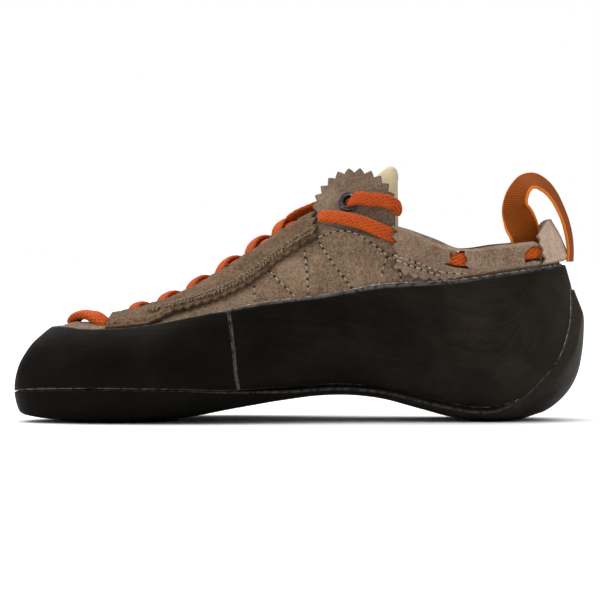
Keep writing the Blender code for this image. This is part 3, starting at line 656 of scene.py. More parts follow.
def ring_faces(count, sides, closed=False):
    """Quads of a tube made of rings; closed joins the last ring to the first."""
    at = np.arange(count * sides).reshape(count, sides)
    here, there = (at, np.roll(at, -1, axis=0)) if closed else (at[:-1], at[1:])
    quad = (here, np.roll(here, -1, axis=1), np.roll(there, -1, axis=1), there)
    return np.stack(quad, axis=-1).reshape(-1, 4)


def two_faced(name, outer, inner, u, v, dist, loop, materials):
    """Closed sheet from an outer and an inner grid that meet along their edges."""
    n, m = outer.shape[:2]
    at = np.arange(n * m).reshape(n, m)
    under = at + n * m
    under[:, 0], under[:, -1] = at[:, 0], at[:, -1]
    if not loop:
        under[0], under[-1] = at[0], at[-1]
    faces = np.concatenate([corners(at, loop, True), corners(under, loop, False)])
    faces = faces.reshape(-1, 4)
    uv = np.concatenate([corner_uv(u, v, loop, True), corner_uv(u, v, loop, False)])
    index = np.repeat([0, 1 if len(materials) > 1 else 0], len(faces) // 2)
    verts = np.concatenate([outer.reshape(-1, 3), inner.reshape(-1, 3)])
    used, faces = np.unique(faces, return_inverse=True)
    faces = faces.reshape(-1, 4)
    values = {"rim": np.tile(dist.ravel(), 2)[used] / MM}
    return build(name, verts[used], faces, uv, values, materials, index)


def sheet(name, turns, low, high, mid, half, rows, materials, loop=False, rim=None,
          relief=None, jag=None):
    """Closed sheet on the last between two edges, with round rims.

    The rim is one radius, or three: at the low edge, the high edge and the ends."""
    rim_low, rim_high, rim_end = rim if isinstance(rim, tuple) else (rim or half,) * 3
    ladder = low[:, None] + (high - low)[:, None] * np.linspace(0, 1, 9)
    level = mid if callable(mid) else (lambda t, p: mid + 0 * (t + p))
    line = place(turns[:, None], ladder, level(turns[:, None], ladder))
    reach = np.linalg.norm(np.diff(line, axis=1), axis=2).sum(axis=1)
    first = np.minimum(rim_steps(rim_low)[None, :] / reach[:, None], 0.45)
    last = np.minimum(rim_steps(rim_high)[None, :] / reach[:, None], 0.45)
    body = np.linspace(0, 1, rows)[1:-1]
    inner = first[:, -1:] + (1 - first[:, -1:] - last[:, -1:]) * body
    shares = np.concatenate([first, inner, 1 - last[:, ::-1]], axis=1)
    phi = low[:, None] + (high - low)[:, None] * shares
    run = lengths(line[:, 4])
    across = reach[:, None] * shares
    dist = np.minimum(across, reach[:, None] - across)
    roundness = np.minimum(across / rim_low, (reach[:, None] - across) / rim_high)
    spread = turns[:, None] + 0 * phi
    if not loop:
        from_end = np.minimum(run, run[-1] - run)[:, None]
        dist = np.minimum(dist, from_end)
        roundness = np.minimum(roundness, from_end / rim_end)
    if jag is not None:
        spread = spread + jag(run[:, None], across, reach[:, None], run[-1])
    shape = quarter_round(roundness)
    centre = level(spread, phi)
    out = centre + half * shape
    if relief is not None:
        out = out + relief(place(spread, phi, centre), run[:, None], across) * shape
    return two_faced(name, place(spread, phi, out), place(spread, phi, centre - half * shape),
                     run, across, dist, loop, materials)


def path(points, pitch):
    """Points at an even pitch on a smooth curve through the given ones."""
    points = np.asarray(points, dtype=float)
    run = lengths(points[:, :3])
    slopes = np.gradient(points, axis=0) / np.gradient(run)[:, None]
    dense = np.linspace(0, run[-1], 40 * len(points))
    row = np.clip(np.searchsorted(run, dense) - 1, 0, len(run) - 2)
    step = (run[row + 1] - run[row])[:, None]
    t = np.clip((dense - run[row])[:, None] / step, 0, 1)
    first, last = slopes[row] * step, slopes[row + 1] * step
    rise = points[row + 1] - points[row]
    curve = points[row] + t * first + t * t * (3 * rise - 2 * first - last)
    curve = curve + t ** 3 * (first + last - 2 * rise)
    along = lengths(curve[:, :3])
    at = np.linspace(0, along[-1], max(int(along[-1] / pitch), 2))
    return np.stack([np.interp(at, along, curve[:, n]) for n in range(curve.shape[1])], axis=-1)


def sides_of(points, out):
    """Directions across and out of a line, square to it."""
    run = unit(np.gradient(points, axis=0))
    wide = unit(np.cross(run, out))
    return wide, unit(np.cross(wide, run))


def tube(name, points, wide, out, width, thick, materials, sides=40, power=2.6, relief=None,
         taper=0.0):
    """Cord along a path: an oval section of the given power, with relief on it."""
    count = len(points)
    run = lengths(points)
    angle = 2 * np.pi * np.arange(sides) / sides
    c, s = np.cos(angle), np.sin(angle)
    u = np.sign(c) * np.abs(c) ** (2 / power)
    w = np.sign(s) * np.abs(s) ** (2 / power)
    section = np.stack([u * width / 2, w * thick / 2], axis=-1)
    turn = np.concatenate([section, section[:1]])
    around = lengths(np.column_stack([turn, 0 * turn[:, 0]]))
    away = unit(np.stack([u / width, w / thick], axis=-1))
    height = np.zeros((count, sides))
    if relief is not None:
        height = relief(run[:, None], around[None, :-1] / around[-1], u[None, :])
    scale = np.ones(count)
    if taper:
        scale = quarter_round(np.minimum(run, run[-1] - run) / taper, 0.02)
    flat = section[None] * scale[:, None, None] + away[None] * (height * scale[:, None])[..., None]
    verts = (points[:, None] + wide[:, None] * flat[..., :1] + out[:, None] * flat[..., 1:])
    rings = np.arange(count * sides).reshape(count, sides)
    faces = ring_faces(count, sides).tolist()
    faces += [rings[0][::-1].tolist(), rings[-1].tolist()]
    corner = np.concatenate(faces)
    uv = np.stack([run[corner // sides], around[:-1][corner % sides]], axis=-1) / MM
    values = {"relief": height / MM, "across": 0 * height + u[None, :]}
    return build(name, verts.reshape(-1, 3), faces, uv, values, materials)


def dress(thing, slot, *nodes):
    """A piece rides with the shoe and stands for its solids; the slot it is given is not used."""
    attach(thing, "root")
    if nodes:
        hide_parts(*nodes)
    return thing

# %% [markdown]
# ## Tools for materials
# The shaders are worked out with plain arithmetic. One small class wraps a socket, so
# that a sum or product of sockets makes the Math node for it. Numbers stay in Python.

# %% Shader arithmetic
class Wire:
    """A shader socket that can be added, multiplied and so on."""

    def __init__(self, graph, socket):
        self.graph, self.socket = graph, socket

    def __add__(self, other):
        return self.graph.math("ADD", self, other)

    def __sub__(self, other):
        return self.graph.math("SUBTRACT", self, other)

    def __rsub__(self, other):
        return self.graph.math("SUBTRACT", other, self)

    def __mul__(self, other):
        return self.graph.math("MULTIPLY", self, other)

    def __truediv__(self, other):
        return self.graph.math("DIVIDE", self, other)

    def __rtruediv__(self, other):
        return self.graph.math("DIVIDE", other, self)

    def __pow__(self, other):
        return self.graph.math("POWER", self, other)

    def __neg__(self):
        return self.graph.math("MULTIPLY", self, -1.0)

    __radd__ = __add__
    __rmul__ = __mul__

    def size(self):
        return self.graph.math("ABSOLUTE", self)

    def sine(self):
        return self.graph.math("SINE", self)

    def ramp(self, low, high):
        """0 at low, 1 at high, softly between."""
        return self.graph.node("ShaderNodeMapRange", 0, {"interpolation_type": "SMOOTHSTEP"},
                               {0: self, 1: low, 2: high})


class Graph:
    """One material and the nodes behind it."""

    def __init__(self, name, roughness=0.8, metallic=0.0, **constants):
        self.material = bpy.data.materials.new(name)
        self.material.use_nodes = True
        self.nodes = self.material.node_tree.nodes
        self.links = self.material.node_tree.links
        self.shader = self.nodes["Principled BSDF"]
        self.shader.inputs["Roughness"].default_value = roughness
        self.shader.inputs["Metallic"].default_value = metallic
        for key, value in constants.items():
            self.shader.inputs[key.replace("_", " ")].default_value = value
        self.place = self.node("ShaderNodeTexCoord", "Object")

    def node(self, kind, output=0, properties=None, inputs=None):
        made = self.nodes.new(kind)
        for key, value in (properties or {}).items():
            setattr(made, key, value)
        for key, value in (inputs or {}).items():
            if isinstance(value, Wire):
                self.links.new(value.socket, made.inputs[key])
            else:
                made.inputs[key].default_value = value
        return Wire(self, made.outputs[output])

    def math(self, operation, *values):
        return self.node("ShaderNodeMath", 0, {"operation": operation}, dict(enumerate(values)))

    def vector(self, operation, *values):
        return self.node("ShaderNodeVectorMath", 0, {"operation": operation},
                         dict(enumerate(values)))

    def noise(self, size, detail=2.0, rough=0.5, place=None, stretch=None, seed=0.0):
        """Noise with features of a size in millimetres."""
        place = place or self.place
        if stretch:
            place = self.vector("MULTIPLY", place, stretch)
        place = self.vector("ADD", place, (seed * 0.37, seed * 0.11, seed * 0.23))
        return self.node("ShaderNodeTexNoise", 0, {"noise_dimensions": "3D"},
                         {"Vector": place, "Scale": 1000.0 / size, "Detail": detail,
                          "Roughness": rough})

    def cells(self, size, output="Distance", place=None, seed=0.0):
        place = self.vector("ADD", place or self.place, (seed, seed, seed))
        return self.node("ShaderNodeTexVoronoi", output, {},
                         {"Vector": place, "Scale": 1000.0 / size})

    def mix(self, share, first, second, blend="MIX"):
        def colour(value):
            return value if isinstance(value, Wire) else (*value, 1.0)
        return self.node("ShaderNodeMix", 2, {"data_type": "RGBA", "blend_type": blend},
                         {0: share, 6: colour(first), 7: colour(second)})

    def stored(self, name):
        return self.node("ShaderNodeAttribute", "Fac", {"attribute_name": name})

    def uv(self):
        """The UV map in millimetres, along and across."""
        split = self.node("ShaderNodeUVMap", 0, {"uv_map": "UVMap"})
        parts = self.node("ShaderNodeSeparateXYZ", 0, {}, {0: split})
        return parts, Wire(self, parts.socket.node.outputs[1])

    def set(self, key, value):
        self.links.new(value.socket, self.shader.inputs[key])

    def bump(self, height, strength, distance, under=None):
        inputs = {"Height": height, "Strength": strength, "Distance": distance}
        if under:
            inputs["Normal"] = under
        return self.node("ShaderNodeBump", 0, {}, inputs)


# %% [markdown]
# ## Suede
# Split leather with the nap out. The picture shows a fine light and dark speckle from
# the fibres, softer patches where the nap lies another way, and a darker cut edge.

# %% Suede
def suede(name, dark, light, cut_edge, nap=0.9, pores=0.0):
    g = Graph(name, roughness=0.95, Specular_IOR_Level=0.08, Sheen_Weight=0.05,
              Sheen_Roughness=0.6)
    patches = g.noise(16.0, 3.0, 0.55, seed=1.0)
    brushed = g.noise(4.5, 3.0, 0.6, seed=2.0)
    fibres = g.noise(nap, 3.0, 0.75, seed=3.0)
    speck = g.noise(nap * 0.45, 2.0, 0.7, seed=4.0)
    tone = patches * 0.40 + brushed * 0.32 + fibres * 0.95 + speck * 0.55 - 0.66
    colour = g.mix(tone.ramp(0.10, 0.80), dark, light)
    rim = 1.0 - g.stored("rim").ramp(0.1, 0.85)
    colour = g.mix(rim * (0.35 + 0.6 * brushed), colour, cut_edge)
    if pores:
        pits = 1.0 - g.cells(0.95, seed=0.4).ramp(0.05, 0.24)
        pits = pits * g.noise(3.0, 1.0, seed=8.0).ramp(0.35, 0.7)
        colour = g.mix(pits * pores, colour, tuple(0.35 * v for v in dark))
    g.set("Base Color", colour)
    lay = g.bump(brushed, 0.30, 0.0010)
    g.set("Normal", g.bump(fibres + speck * 0.7, 0.55, 0.00035, lay))
    return g.material


SUEDE = suede("suede", (0.070, 0.042, 0.023), (0.300, 0.205, 0.135), (0.035, 0.020, 0.012),
              nap=1.1)
STAY_SUEDE = suede("suede_stay", (0.030, 0.016, 0.008), (0.180, 0.106, 0.056),
                   (0.045, 0.026, 0.014), nap=1.4)
BAND_SUEDE = suede("suede_band", (0.085, 0.050, 0.030), (0.310, 0.215, 0.150),
                   (0.022, 0.013, 0.008), nap=1.1)
CAP_SUEDE = suede("suede_cap", (0.250, 0.170, 0.118), (0.560, 0.425, 0.325),
                  (0.070, 0.045, 0.030), nap=0.8, pores=0.75)
TAB_SUEDE = suede("suede_tab", (0.068, 0.043, 0.027), (0.262, 0.182, 0.126),
                  (0.060, 0.038, 0.025), nap=0.9)
LINING = suede("lining", (0.200, 0.150, 0.105), (0.330, 0.260, 0.190), (0.120, 0.085, 0.055))

# %% [markdown]
# ## Rubber
# The rand and sole are sanded before they leave the last, which leaves fine streaks along
# the shoe and grey dusty patches at the edges. A painted highlight makes the rubber lighter
# towards the heel; at the toe it is nearly black.

# %% Rubber
def rubber(name, tint, heel_highlight_tint, slant, dust):
    g = Graph(name, roughness=0.5, Specular_IOR_Level=0.035)
    u, v = g.uv()
    leaning = g.node("ShaderNodeCombineXYZ", 0, {}, {0: u * 0.06 + v * slant, 1: v * 2.2,
                                                    2: 0.0})
    streak = g.node("ShaderNodeTexNoise", 0, {"noise_dimensions": "3D"},
                    {"Vector": leaning, "Scale": 1.0, "Detail": 4.0, "Roughness": 0.65})
    broad = g.node("ShaderNodeTexNoise", 0, {"noise_dimensions": "3D"},
                   {"Vector": leaning, "Scale": 0.28, "Detail": 3.0, "Roughness": 0.6})
    patches = g.noise(22.0, 4.0, 0.6, seed=5.0)
    grain = g.noise(0.7, 2.0, 0.6, seed=6.0)
    x = g.node("ShaderNodeSeparateXYZ", 0, {}, {0: g.place})
    # Painted highlight: from here the colour turns lighter towards the heel, where the light falls
    # on the rubber.
    heel = (x * 1000.0).ramp(-95.0, 25.0)
    shade = broad * 0.22 + streak * 0.42 + patches * 0.75 - 0.42
    dark = g.mix(heel, tuple(0.55 * c for c in tint), tuple(0.50 * c for c in heel_highlight_tint))
    light = g.mix(heel, tuple(1.9 * c for c in tint), tuple(1.75 * c for c in heel_highlight_tint))
    colour = g.mix(shade.ramp(0.05, 0.62), dark, light)
    scuffs = g.cells(13.0, seed=2.0).ramp(0.02, 0.06)
    mark = (1.0 - scuffs) * g.noise(4.0, 2.0, seed=9.0).ramp(0.55, 0.68)
    colour = g.mix(mark * 0.6, colour, (0.075, 0.066, 0.056))
    rim = 1.0 - g.stored("rim").ramp(0.15, 1.0)
    colour = g.mix(rim * dust * g.noise(2.2, 3.0, 0.6, seed=7.0).ramp(0.3, 0.62), colour,
                   (0.20, 0.19, 0.19))
    g.set("Base Color", colour)
    g.set("Roughness", (0.62 - 0.16 * streak - 0.10 * patches + 0.05 * grain))
    low = g.bump(broad + streak * 0.6, 0.22, 0.0006)
    g.set("Normal", g.bump(grain, 0.10, 0.0002, low))
    return g.material


# Each rubber's second colour is its painted highlight towards the heel.
RAND_RUBBER = rubber("rand_rubber", (0.0040, 0.0033, 0.0022), (0.0110, 0.0090, 0.0068), 0.22, 0.5)
HEEL_RUBBER = rubber("heel_rubber", (0.0050, 0.0041, 0.0028), (0.0150, 0.0120, 0.0092), 0.0, 0.5)
SOLE_RUBBER = rubber("sole_rubber", (0.0030, 0.0025, 0.0017), (0.0200, 0.0162, 0.0132), 0.0, 0.25)

# %% [markdown]
# ## Laces, webbing and cotton
# The lace is a flat braid: its weave is in the mesh, and the shader puts painted shade into the
# gaps between plaits, a painted highlight on their tops and the thread's own lines. The webbing
# is ribbed with a raised woven rim that is painted bright as a highlight. The tongue is undyed
# brushed cotton.

# %% Cloth materials
# Pitches of the weaves in millimetres
RIB_PITCH = 0.75
WARP_PITCH = 0.62
WEAVE_PITCH = 0.55


def lace_material():
    g = Graph("lace", roughness=0.7, Specular_IOR_Level=0.12)
    relief = g.stored("relief")
    u, v = g.uv()
    threads = ((u * 9.0 + v * 9.0).sine() * 0.25 + (u * 9.0 - v * 9.0).sine() * 0.25) + 0.5
    # Painted shade: the colour darkens in the low gaps between the plaits.
    tone = relief.ramp(0.02, 0.185)
    colour = g.mix(tone, (0.060, 0.005, 0.001), (0.400, 0.050, 0.005))
    # Painted highlight: a lighter orange on the plaits' raised tops.
    colour = g.mix(threads * tone * 0.50, colour, (0.620, 0.140, 0.016))
    soil = g.noise(9.0, 3.0, 0.6, seed=3.0).ramp(0.42, 0.75)
    colour = g.mix(soil * 0.35, colour, (0.240, 0.036, 0.010))
    g.set("Base Color", colour)
    g.set("Normal", g.bump(threads + g.noise(0.3, 2.0) * 0.5, 0.30, 0.00015))
    return g.material


def webbing_material():
    g = Graph("webbing", roughness=0.7, Specular_IOR_Level=0.035)
    u, v = g.uv()
    across = g.stored("across").size()
    ribs = (u * (2 * math.pi / RIB_PITCH)).sine() * 0.5 + 0.5
    warp = (v * (2 * math.pi / WARP_PITCH)).sine() * 0.5 + 0.5
    colour = g.mix(ribs * 0.35 + warp * 0.20, (0.130, 0.025, 0.003), (0.400, 0.105, 0.011))
    colour = g.mix(g.noise(7.0, 3.0, 0.6, seed=5.0).ramp(0.35, 0.75) * 0.4, colour,
                   (0.190, 0.042, 0.010))
    # Painted highlight: both rims of the strip are painted bright orange.
    colour = g.mix(across.ramp(0.86, 0.93), colour, (0.600, 0.160, 0.020))
    g.set("Base Color", colour)
    g.set("Normal", g.bump(ribs * 0.6 + warp * 0.4, 0.45, 0.00022))
    return g.material


def cotton_material():
    g = Graph("cotton", roughness=0.95, Specular_IOR_Level=0.08, Sheen_Weight=0.05)
    u, v = g.uv()
    turns = 2 * math.pi / WEAVE_PITCH
    weave = (u * turns).sine() * (v * turns).sine() * 0.5 + 0.5
    fuzz = g.noise(0.6, 3.0, 0.7, seed=2.0)
    stain = g.noise(12.0, 3.0, 0.55, seed=3.0)
    colour = g.mix((fuzz * 0.7 + stain * 0.6 - 0.25).ramp(0.1, 0.8), (0.400, 0.335, 0.205),
                   (0.620, 0.530, 0.350))
    colour = g.mix(weave * 0.12, colour, (0.300, 0.250, 0.150))
    g.set("Base Color", colour)
    g.set("Normal", g.bump(weave * 0.5 + fuzz, 0.4, 0.0003))
    return g.material


def thread_material(name, dark, light):
    g = Graph(name, roughness=0.7)
    u = g.noise(0.5, 2.0, 0.6)
    g.set("Base Color", g.mix(u.ramp(0.3, 0.7), dark, light))
    g.set("Normal", g.bump(u, 0.3, 0.0001))
    return g.material


def metal_material():
    g = Graph("gunmetal", roughness=0.35, metallic=0.9)
    worn = g.noise(1.2, 3.0, 0.6, seed=1.0).ramp(0.45, 0.75)
    colour = g.mix(worn, (0.045, 0.043, 0.042), (0.170, 0.165, 0.160))
    g.set("Base Color", colour)
    g.set("Roughness", 0.30 + 0.25 * g.noise(0.8, 2.0, seed=2.0))
    g.set("Normal", g.bump(g.noise(0.6, 2.0, seed=3.0), 0.12, 0.0001))
    return g.material


def glue_material():
    g = Graph("glue", roughness=0.6)
    tone = g.noise(1.6, 4.0, 0.65, seed=1.0)
    g.set("Base Color", g.mix(tone.ramp(0.3, 0.7), (0.110, 0.095, 0.082),
                              (0.500, 0.480, 0.460)))
    g.set("Normal", g.bump(tone, 0.4, 0.0003))
    return g.material


def hole_shade_material():
    g = Graph("pinhole_shade", roughness=0.9)
    tone = g.noise(0.5, 2.0)
    # Painted shade: near black, standing for the shade inside a needle hole.
    g.set("Base Color", g.mix(tone, (0.006, 0.004, 0.003), (0.022, 0.014, 0.009)))
    return g.material


LACE = lace_material()
WEBBING = webbing_material()
COTTON = cotton_material()
GUNMETAL = metal_material()
GLUE = glue_material()
PINHOLE_SHADE = hole_shade_material()
THREAD = thread_material("thread", (0.300, 0.235, 0.150), (0.640, 0.560, 0.400))
STAY_THREAD = thread_material("stay_thread", (0.095, 0.060, 0.034), (0.250, 0.172, 0.104))
print("materials:", len(bpy.data.materials))

# %% [markdown]
# ## Upper
# One hollow of split suede, pulled over the last, open at collar and throat and turned
# under at the sole. Its inside is the same hide, smooth side in.

# %% Upper
def mirrored_columns(pitch):
    """Turns once round, the same on both sides of the spine."""
    medial = columns(0.0, 1.0, pitch)
    return np.concatenate([medial, 2 - medial[-2:0:-1]])


LOOP = mirrored_columns(1.3 * MM)


def crease(points, start, end, width, depth):
    """A soft fold laid between two places seen from the side."""
    a, b = np.array(start), np.array(end)
    flat = points[..., [0, 2]]
    share = np.clip(((flat - a) @ (b - a)) / ((b - a) @ (b - a)), 0, 1)
    away = np.linalg.norm(flat - a - share[..., None] * (b - a), axis=-1)
    fade = np.sin(np.pi * np.clip(share * 0.9 + 0.05, 0, 1))
    return -depth * np.exp(-(away / width) ** 2) * fade


# Folds: both ends in pixels of the photograph, width and depth in mm.
CREASES = (
    ((300, 258), (332, 250), 2.2, 0.35),
    ((330, 280), (362, 262), 2.6, 0.35),
    ((410, 246), (440, 262), 2.4, 0.30),
    ((262, 280), (280, 296), 2.0, 0.25),
    ((180, 310), (200, 302), 2.2, 0.30),
)


def upper_relief(points, *_):
    total = uneven(points, 10, (0.22, 24), (0.10, 9))
    for start, end, width, depth in CREASES:
        near = (pixel_x(start[0]), pixel_z(start[1]))
        far = (pixel_x(end[0]), pixel_z(end[1]))
        total = total + crease(points, near, far, width * MM, depth * MM)
    return total


def make_upper():
    low = edge(LOOP, lambda t: phi_under(t, lasting_margin(t)))
    high = edge(LOOP, upper_top_phi)
    half = UPPER_WALL / 2
    piece = sheet("upper", LOOP, low, high, half, half, 74, (SUEDE, LINING), loop=True,
                  relief=upper_relief)
    return dress(piece, "suede", "upper")


upper = make_upper()
print("upper faces:", len(upper.data.polygons))

# %% [markdown]
# ## Sole, rands and insole
# The outsole is a sheet of 5 mm rubber ground flush at its edge. The rand is a thinner
# band of the same rubber that is stretched over the last: the heel's part is pulled on
# first, and the toe's part meets it in a splice. A hair of glue shows along the sole's
# joint and the rand's top.

# %% Outsole and insole
def zipped(name, grid, u, dist, material):
    """Closed skin from sections that run from the spine round an edge and back."""
    n, m = grid.shape[:2]
    at = np.arange(n * m).reshape(n, m)
    thing = build(name, grid.reshape(-1, 3), corners(at, True, True).reshape(-1, 4),
                  corner_uv(u, lengths_across(grid), True, True), {"rim": dist / MM},
                  (material,))
    bm = bmesh.new()
    bm.from_mesh(thing.data)
    bm.verts.ensure_lookup_table()
    seam = [bm.verts[int(x)] for row in (0, m - 1) for x in at[:, row]]
    bmesh.ops.remove_doubles(bm, verts=seam, dist=0.02 * MM)
    bm.to_mesh(thing.data)
    bm.free()
    return thing


SOLE_ROWS = 40
SOLE_STEP = 0.15 * MM
CORNER_POWER = 9.0
GROUND_START = 0.10
GROUND_FADE = 0.12
EDGE_SWELL = 0.35 * MM
FLOOR_SOFT = 0.6 * MM
FLOOR_WEAR = 0.12 * MM
# The toe's underside stands off the floor: heights at places along the shoe.
TOE_SPRING_X = [pixel_x(x) for x in (0, 13, 27, 45, 70, 110, 150)]
TOE_SPRING_Z = np.array((5.6, 5.4, 3.1, 1.9, 1.2, 0.4, 0.0)) * MM


def make_outsole():
    line = edge(LOOP, sole_line_phi, RAND_INSIDE)
    base = edge(LOOP, lambda t: phi_under(t, lasting_margin(t)))
    step_in = edge(LOOP, lambda t: phi_under(t, lasting_margin(t) + 3 * GAP))
    shares = np.linspace(0, 1, SOLE_ROWS)[1:]
    side = base[:, None] + (line - base)[:, None] * shares
    phi = np.concatenate([np.stack([0 * base, 0.5 * step_in, step_in, base], axis=1), side],
                         axis=1)
    inner_off = np.concatenate([[0, 0, 0], np.full(SOLE_ROWS, RAND_INSIDE)])
    low = RAND_INSIDE + OUTSOLE_THICK
    flush = RAND_OUTSIDE + SOLE_STEP
    wrapped = np.interp(shares, (0, 0.60, 0.86, 0.97, 1.0), (low, low, low + OUTSOLE_CORNER,
                        RAND_INSIDE + OUTSOLE_EDGE + EDGE_SWELL, RAND_INSIDE + OUTSOLE_EDGE))
    wrapped = np.concatenate([np.full(4, low), wrapped])
    turns = LOOP[:, None]
    lean = last_normal(turns, phi)
    down, level = np.abs(lean[..., 2]), np.hypot(lean[..., 0], lean[..., 1])
    square = (down / low) ** CORNER_POWER + (level / flush) ** CORNER_POWER
    square = square ** (-1 / CORNER_POWER)
    square[:, :4] = low
    round_heel = np.abs((LOOP + 1) % 2 - 1)
    ground = ease(np.clip((round_heel - GROUND_START) / GROUND_FADE, 0, 1)[:, None])
    outer_off = wrapped[None, :] * (1 - ground) + square * ground
    inside = place(turns, phi, inner_off[None, :])
    outside = place(turns, phi, outer_off)
    ripple = uneven(outside, 20, (0.10, 30))
    outside = outside + last_normal(turns, phi) * ripple[..., None]
    z = outside[..., 2]
    sunk = FLOOR_SOFT * np.exp(np.minimum(z - FLOOR_SOFT, 0) / FLOOR_SOFT)
    outside[..., 2] = np.where(z < FLOOR_SOFT, sunk, z)
    outside[..., 2] = np.maximum(outside[..., 2] - FLOOR_WEAR, 0.0)
    spring = np.interp(outside[..., 0], TOE_SPRING_X, TOE_SPRING_Z)
    outside[..., 2] = np.maximum(outside[..., 2], spring)
    corner = (inside[:, -1:] * 0.30 + outside[:, -1:] * 0.70)
    grid = np.concatenate([inside, corner, outside[:, ::-1]], axis=1)
    run = lengths(last_point(LOOP, 0.5))
    from_edge = np.linalg.norm(grid - corner, axis=2)
    piece = zipped("outsole", grid, run, from_edge, SOLE_RUBBER)
    return dress(piece, "sole_rubber", "outsole")


INSOLE_CLEAR = 1.5 * GAP


def make_insole():
    low = edge(LOOP, lambda t: phi_under(t, lasting_margin(t)))
    line = edge(LOOP, sole_line_phi, RAND_INSIDE)
    high = low + (line - low) * 0.6
    phi = high[:, None] * np.linspace(0, 1, 22) ** 0.7
    turns = LOOP[:, None]
    top = place(turns, phi, -INSOLE_CLEAR - INSOLE_WALL)
    under = place(turns, phi, -INSOLE_CLEAR)
    rim = place(turns, phi[:, -1:], -INSOLE_CLEAR - INSOLE_WALL / 2)
    grid = np.concatenate([under, rim, top[:, ::-1]], axis=1)[:, ::-1]
    run = lengths(last_point(LOOP, 0.5))
    dist = np.linalg.norm(grid - rim, axis=2)
    piece = zipped("insole", grid, run, dist, LINING)
    return dress(piece, "insole", "insole")


make_outsole()
make_insole()

# %% Rands
SPLICE = 17 / COLUMNS
TURN_LENGTH = LAST_LENGTH * np.pi / 2
LEAN_LOW = 1.4 * MM / TURN_LENGTH
LEAN_HIGH = 4.8 * MM / TURN_LENGTH
HALF_SPLICE = 0.03 * MM / TURN_LENGTH
TOE_SKIN = 0.9 * MM
TOE_SKIN_START = pixel_x(72)
TOE_SKIN_FADE = 12 * MM
TOE_SKIN_LOW = 14 * MM
SPLICE_REACH = 30 * MM
RAND_RIMS = (0.15 * MM, 0.6 * MM, 0.2 * MM)


def rand_relief(points, *_):
    """Waves from stretching, and a thinner skin over the toe."""
    waves = uneven(points, 30, (0.16, 34), (0.05, 9))
    toe = np.clip((TOE_SKIN_START - points[..., 0]) / TOE_SKIN_FADE, 0, 1)
    high = np.clip((points[..., 2] - TOE_SKIN_LOW) / TOE_SKIN_LOW, 0, 1)
    return waves - TOE_SKIN * toe * high


def make_rand(name, start, end, lean, material):
    """Lean is 1 where the splice's top tips towards the toe at the start, -1 at the end."""
    turns = columns(start, end, 1.2 * MM, RAND_WALL / 2)
    low = edge(turns, sole_line_phi, RAND_INSIDE, GAP)
    top = edge(turns, phi_on_line, RAND_TOP, RAND_OUTSIDE)

    def jag(run, across, reach, total):
        tip = LEAN_LOW + (LEAN_HIGH - LEAN_LOW) * across / reach
        first = np.clip(1 - run / SPLICE_REACH, 0, 1)
        last = np.clip(1 - (total - run) / SPLICE_REACH, 0, 1)
        return tip * (lean[0] * first + lean[1] * last)

    half = RAND_WALL / 2
    piece = sheet(name, turns, low, top, RAND_INSIDE + half, half, 34, (material,),
                  relief=rand_relief, jag=jag, rim=RAND_RIMS)
    return dress(piece, "rand_rubber", name)


make_rand("rand_toe", SPLICE + HALF_SPLICE, 2 - SPLICE - HALF_SPLICE, (1, -1), RAND_RUBBER)
make_rand("rand_heel", -SPLICE + HALF_SPLICE, SPLICE - HALF_SPLICE, (-1, 1), HEEL_RUBBER)
print("rubber pieces: outsole, rand_toe, rand_heel")

# %% [markdown]
# ## Tongue
# A strip of brushed cotton under the throat, sewn down at the toe end, with a rounded
# tip that stands up behind the tabs.

# %% Tongue
TONGUE_START = 0.968
TONGUE_END = 0.312
TONGUE_COVER = 8.0 * MM
TONGUE_HALF = 24.0 * MM
TONGUE_SEWN = 0.12
TONGUE_CORNER = 5.0 * MM
TONGUE_CURL = 7.0 * MM
TONGUE_DROP = 6.0 * MM
TONGUE_WAVE = 0.5 * MM
TONGUE_WAVES = 9.0


def make_tongue():
    rows = 1 - (1 - np.linspace(0, 1, 110)) ** 1.6
    fan = RIGHT_ANGLE * 0.92
    shares = np.sin(np.linspace(-1, 1, 44) * fan) / math.sin(fan)
    outer, inner, dist = [], [], []
    half = TONGUE_WALL / 2
    length = (TONGUE_START - TONGUE_END) * LAST_LENGTH
    for row in rows:
        along = TONGUE_START + (TONGUE_END - TONGUE_START) * row
        width = BALL_WIDTH * smooth(THROAT["along"], THROAT["half"], along) + TONGUE_COVER
        width = min(width, TONGUE_HALF)
        left = (1 - row) * length / TONGUE_CORNER
        width = width - TONGUE_CORNER * (1 - quarter_round(left))
        curl = TONGUE_DROP * (1 - quarter_round((1 - row) * length / TONGUE_CURL))
        free = np.clip((TONGUE_START - along) / TONGUE_SEWN, 0, 1)
        level = -GAP + (TONGUE_OUTSIDE + GAP) * free - half
        away = np.abs(shares) * width
        turn = round_share(along)
        turns = np.where(shares < 0, turn, 2 - turn)
        phi = phi_from_ridge(turns, np.maximum(away, 0.05 * MM), 0.0)
        edge_dist = np.minimum(width - away, (1 - row) * length)
        thick = half * quarter_round(edge_dist / half) * (0 < row < 1)
        wave = TONGUE_WAVE * math.sin(row * TONGUE_WAVES) * shares ** 2 - curl
        outer.append(place(turns, phi, level + wave + thick))
        inner.append(place(turns, phi, level + wave - thick))
        dist.append(edge_dist)
    outer, inner, dist = np.array(outer), np.array(inner), np.array(dist)
    piece = two_faced("tongue", outer, inner, rows * length, lengths_across(outer), dist,
                      False, (COTTON,))
    return dress(piece, "cotton", "tongue")


make_tongue()

# %% [markdown]
# ## Eyestays
# A strip of suede on each side of the throat, with a pinked lower edge. It is sewn down
# with a wide fuzzy overlock row just above the teeth, and the laces pass under its
# inner edge.

# %% Eyestays
STAY_START = 0.460
STAY_END = 0.855
STAY_OVERHANG = 4.5 * MM
STAY_TOOTH = 4.1 * MM
STAY_DEPTH = 1.6 * MM
STAY_RIM = 0.8 * MM
STAY_END_TEETH = (4.4 * MM, 1.1 * MM)
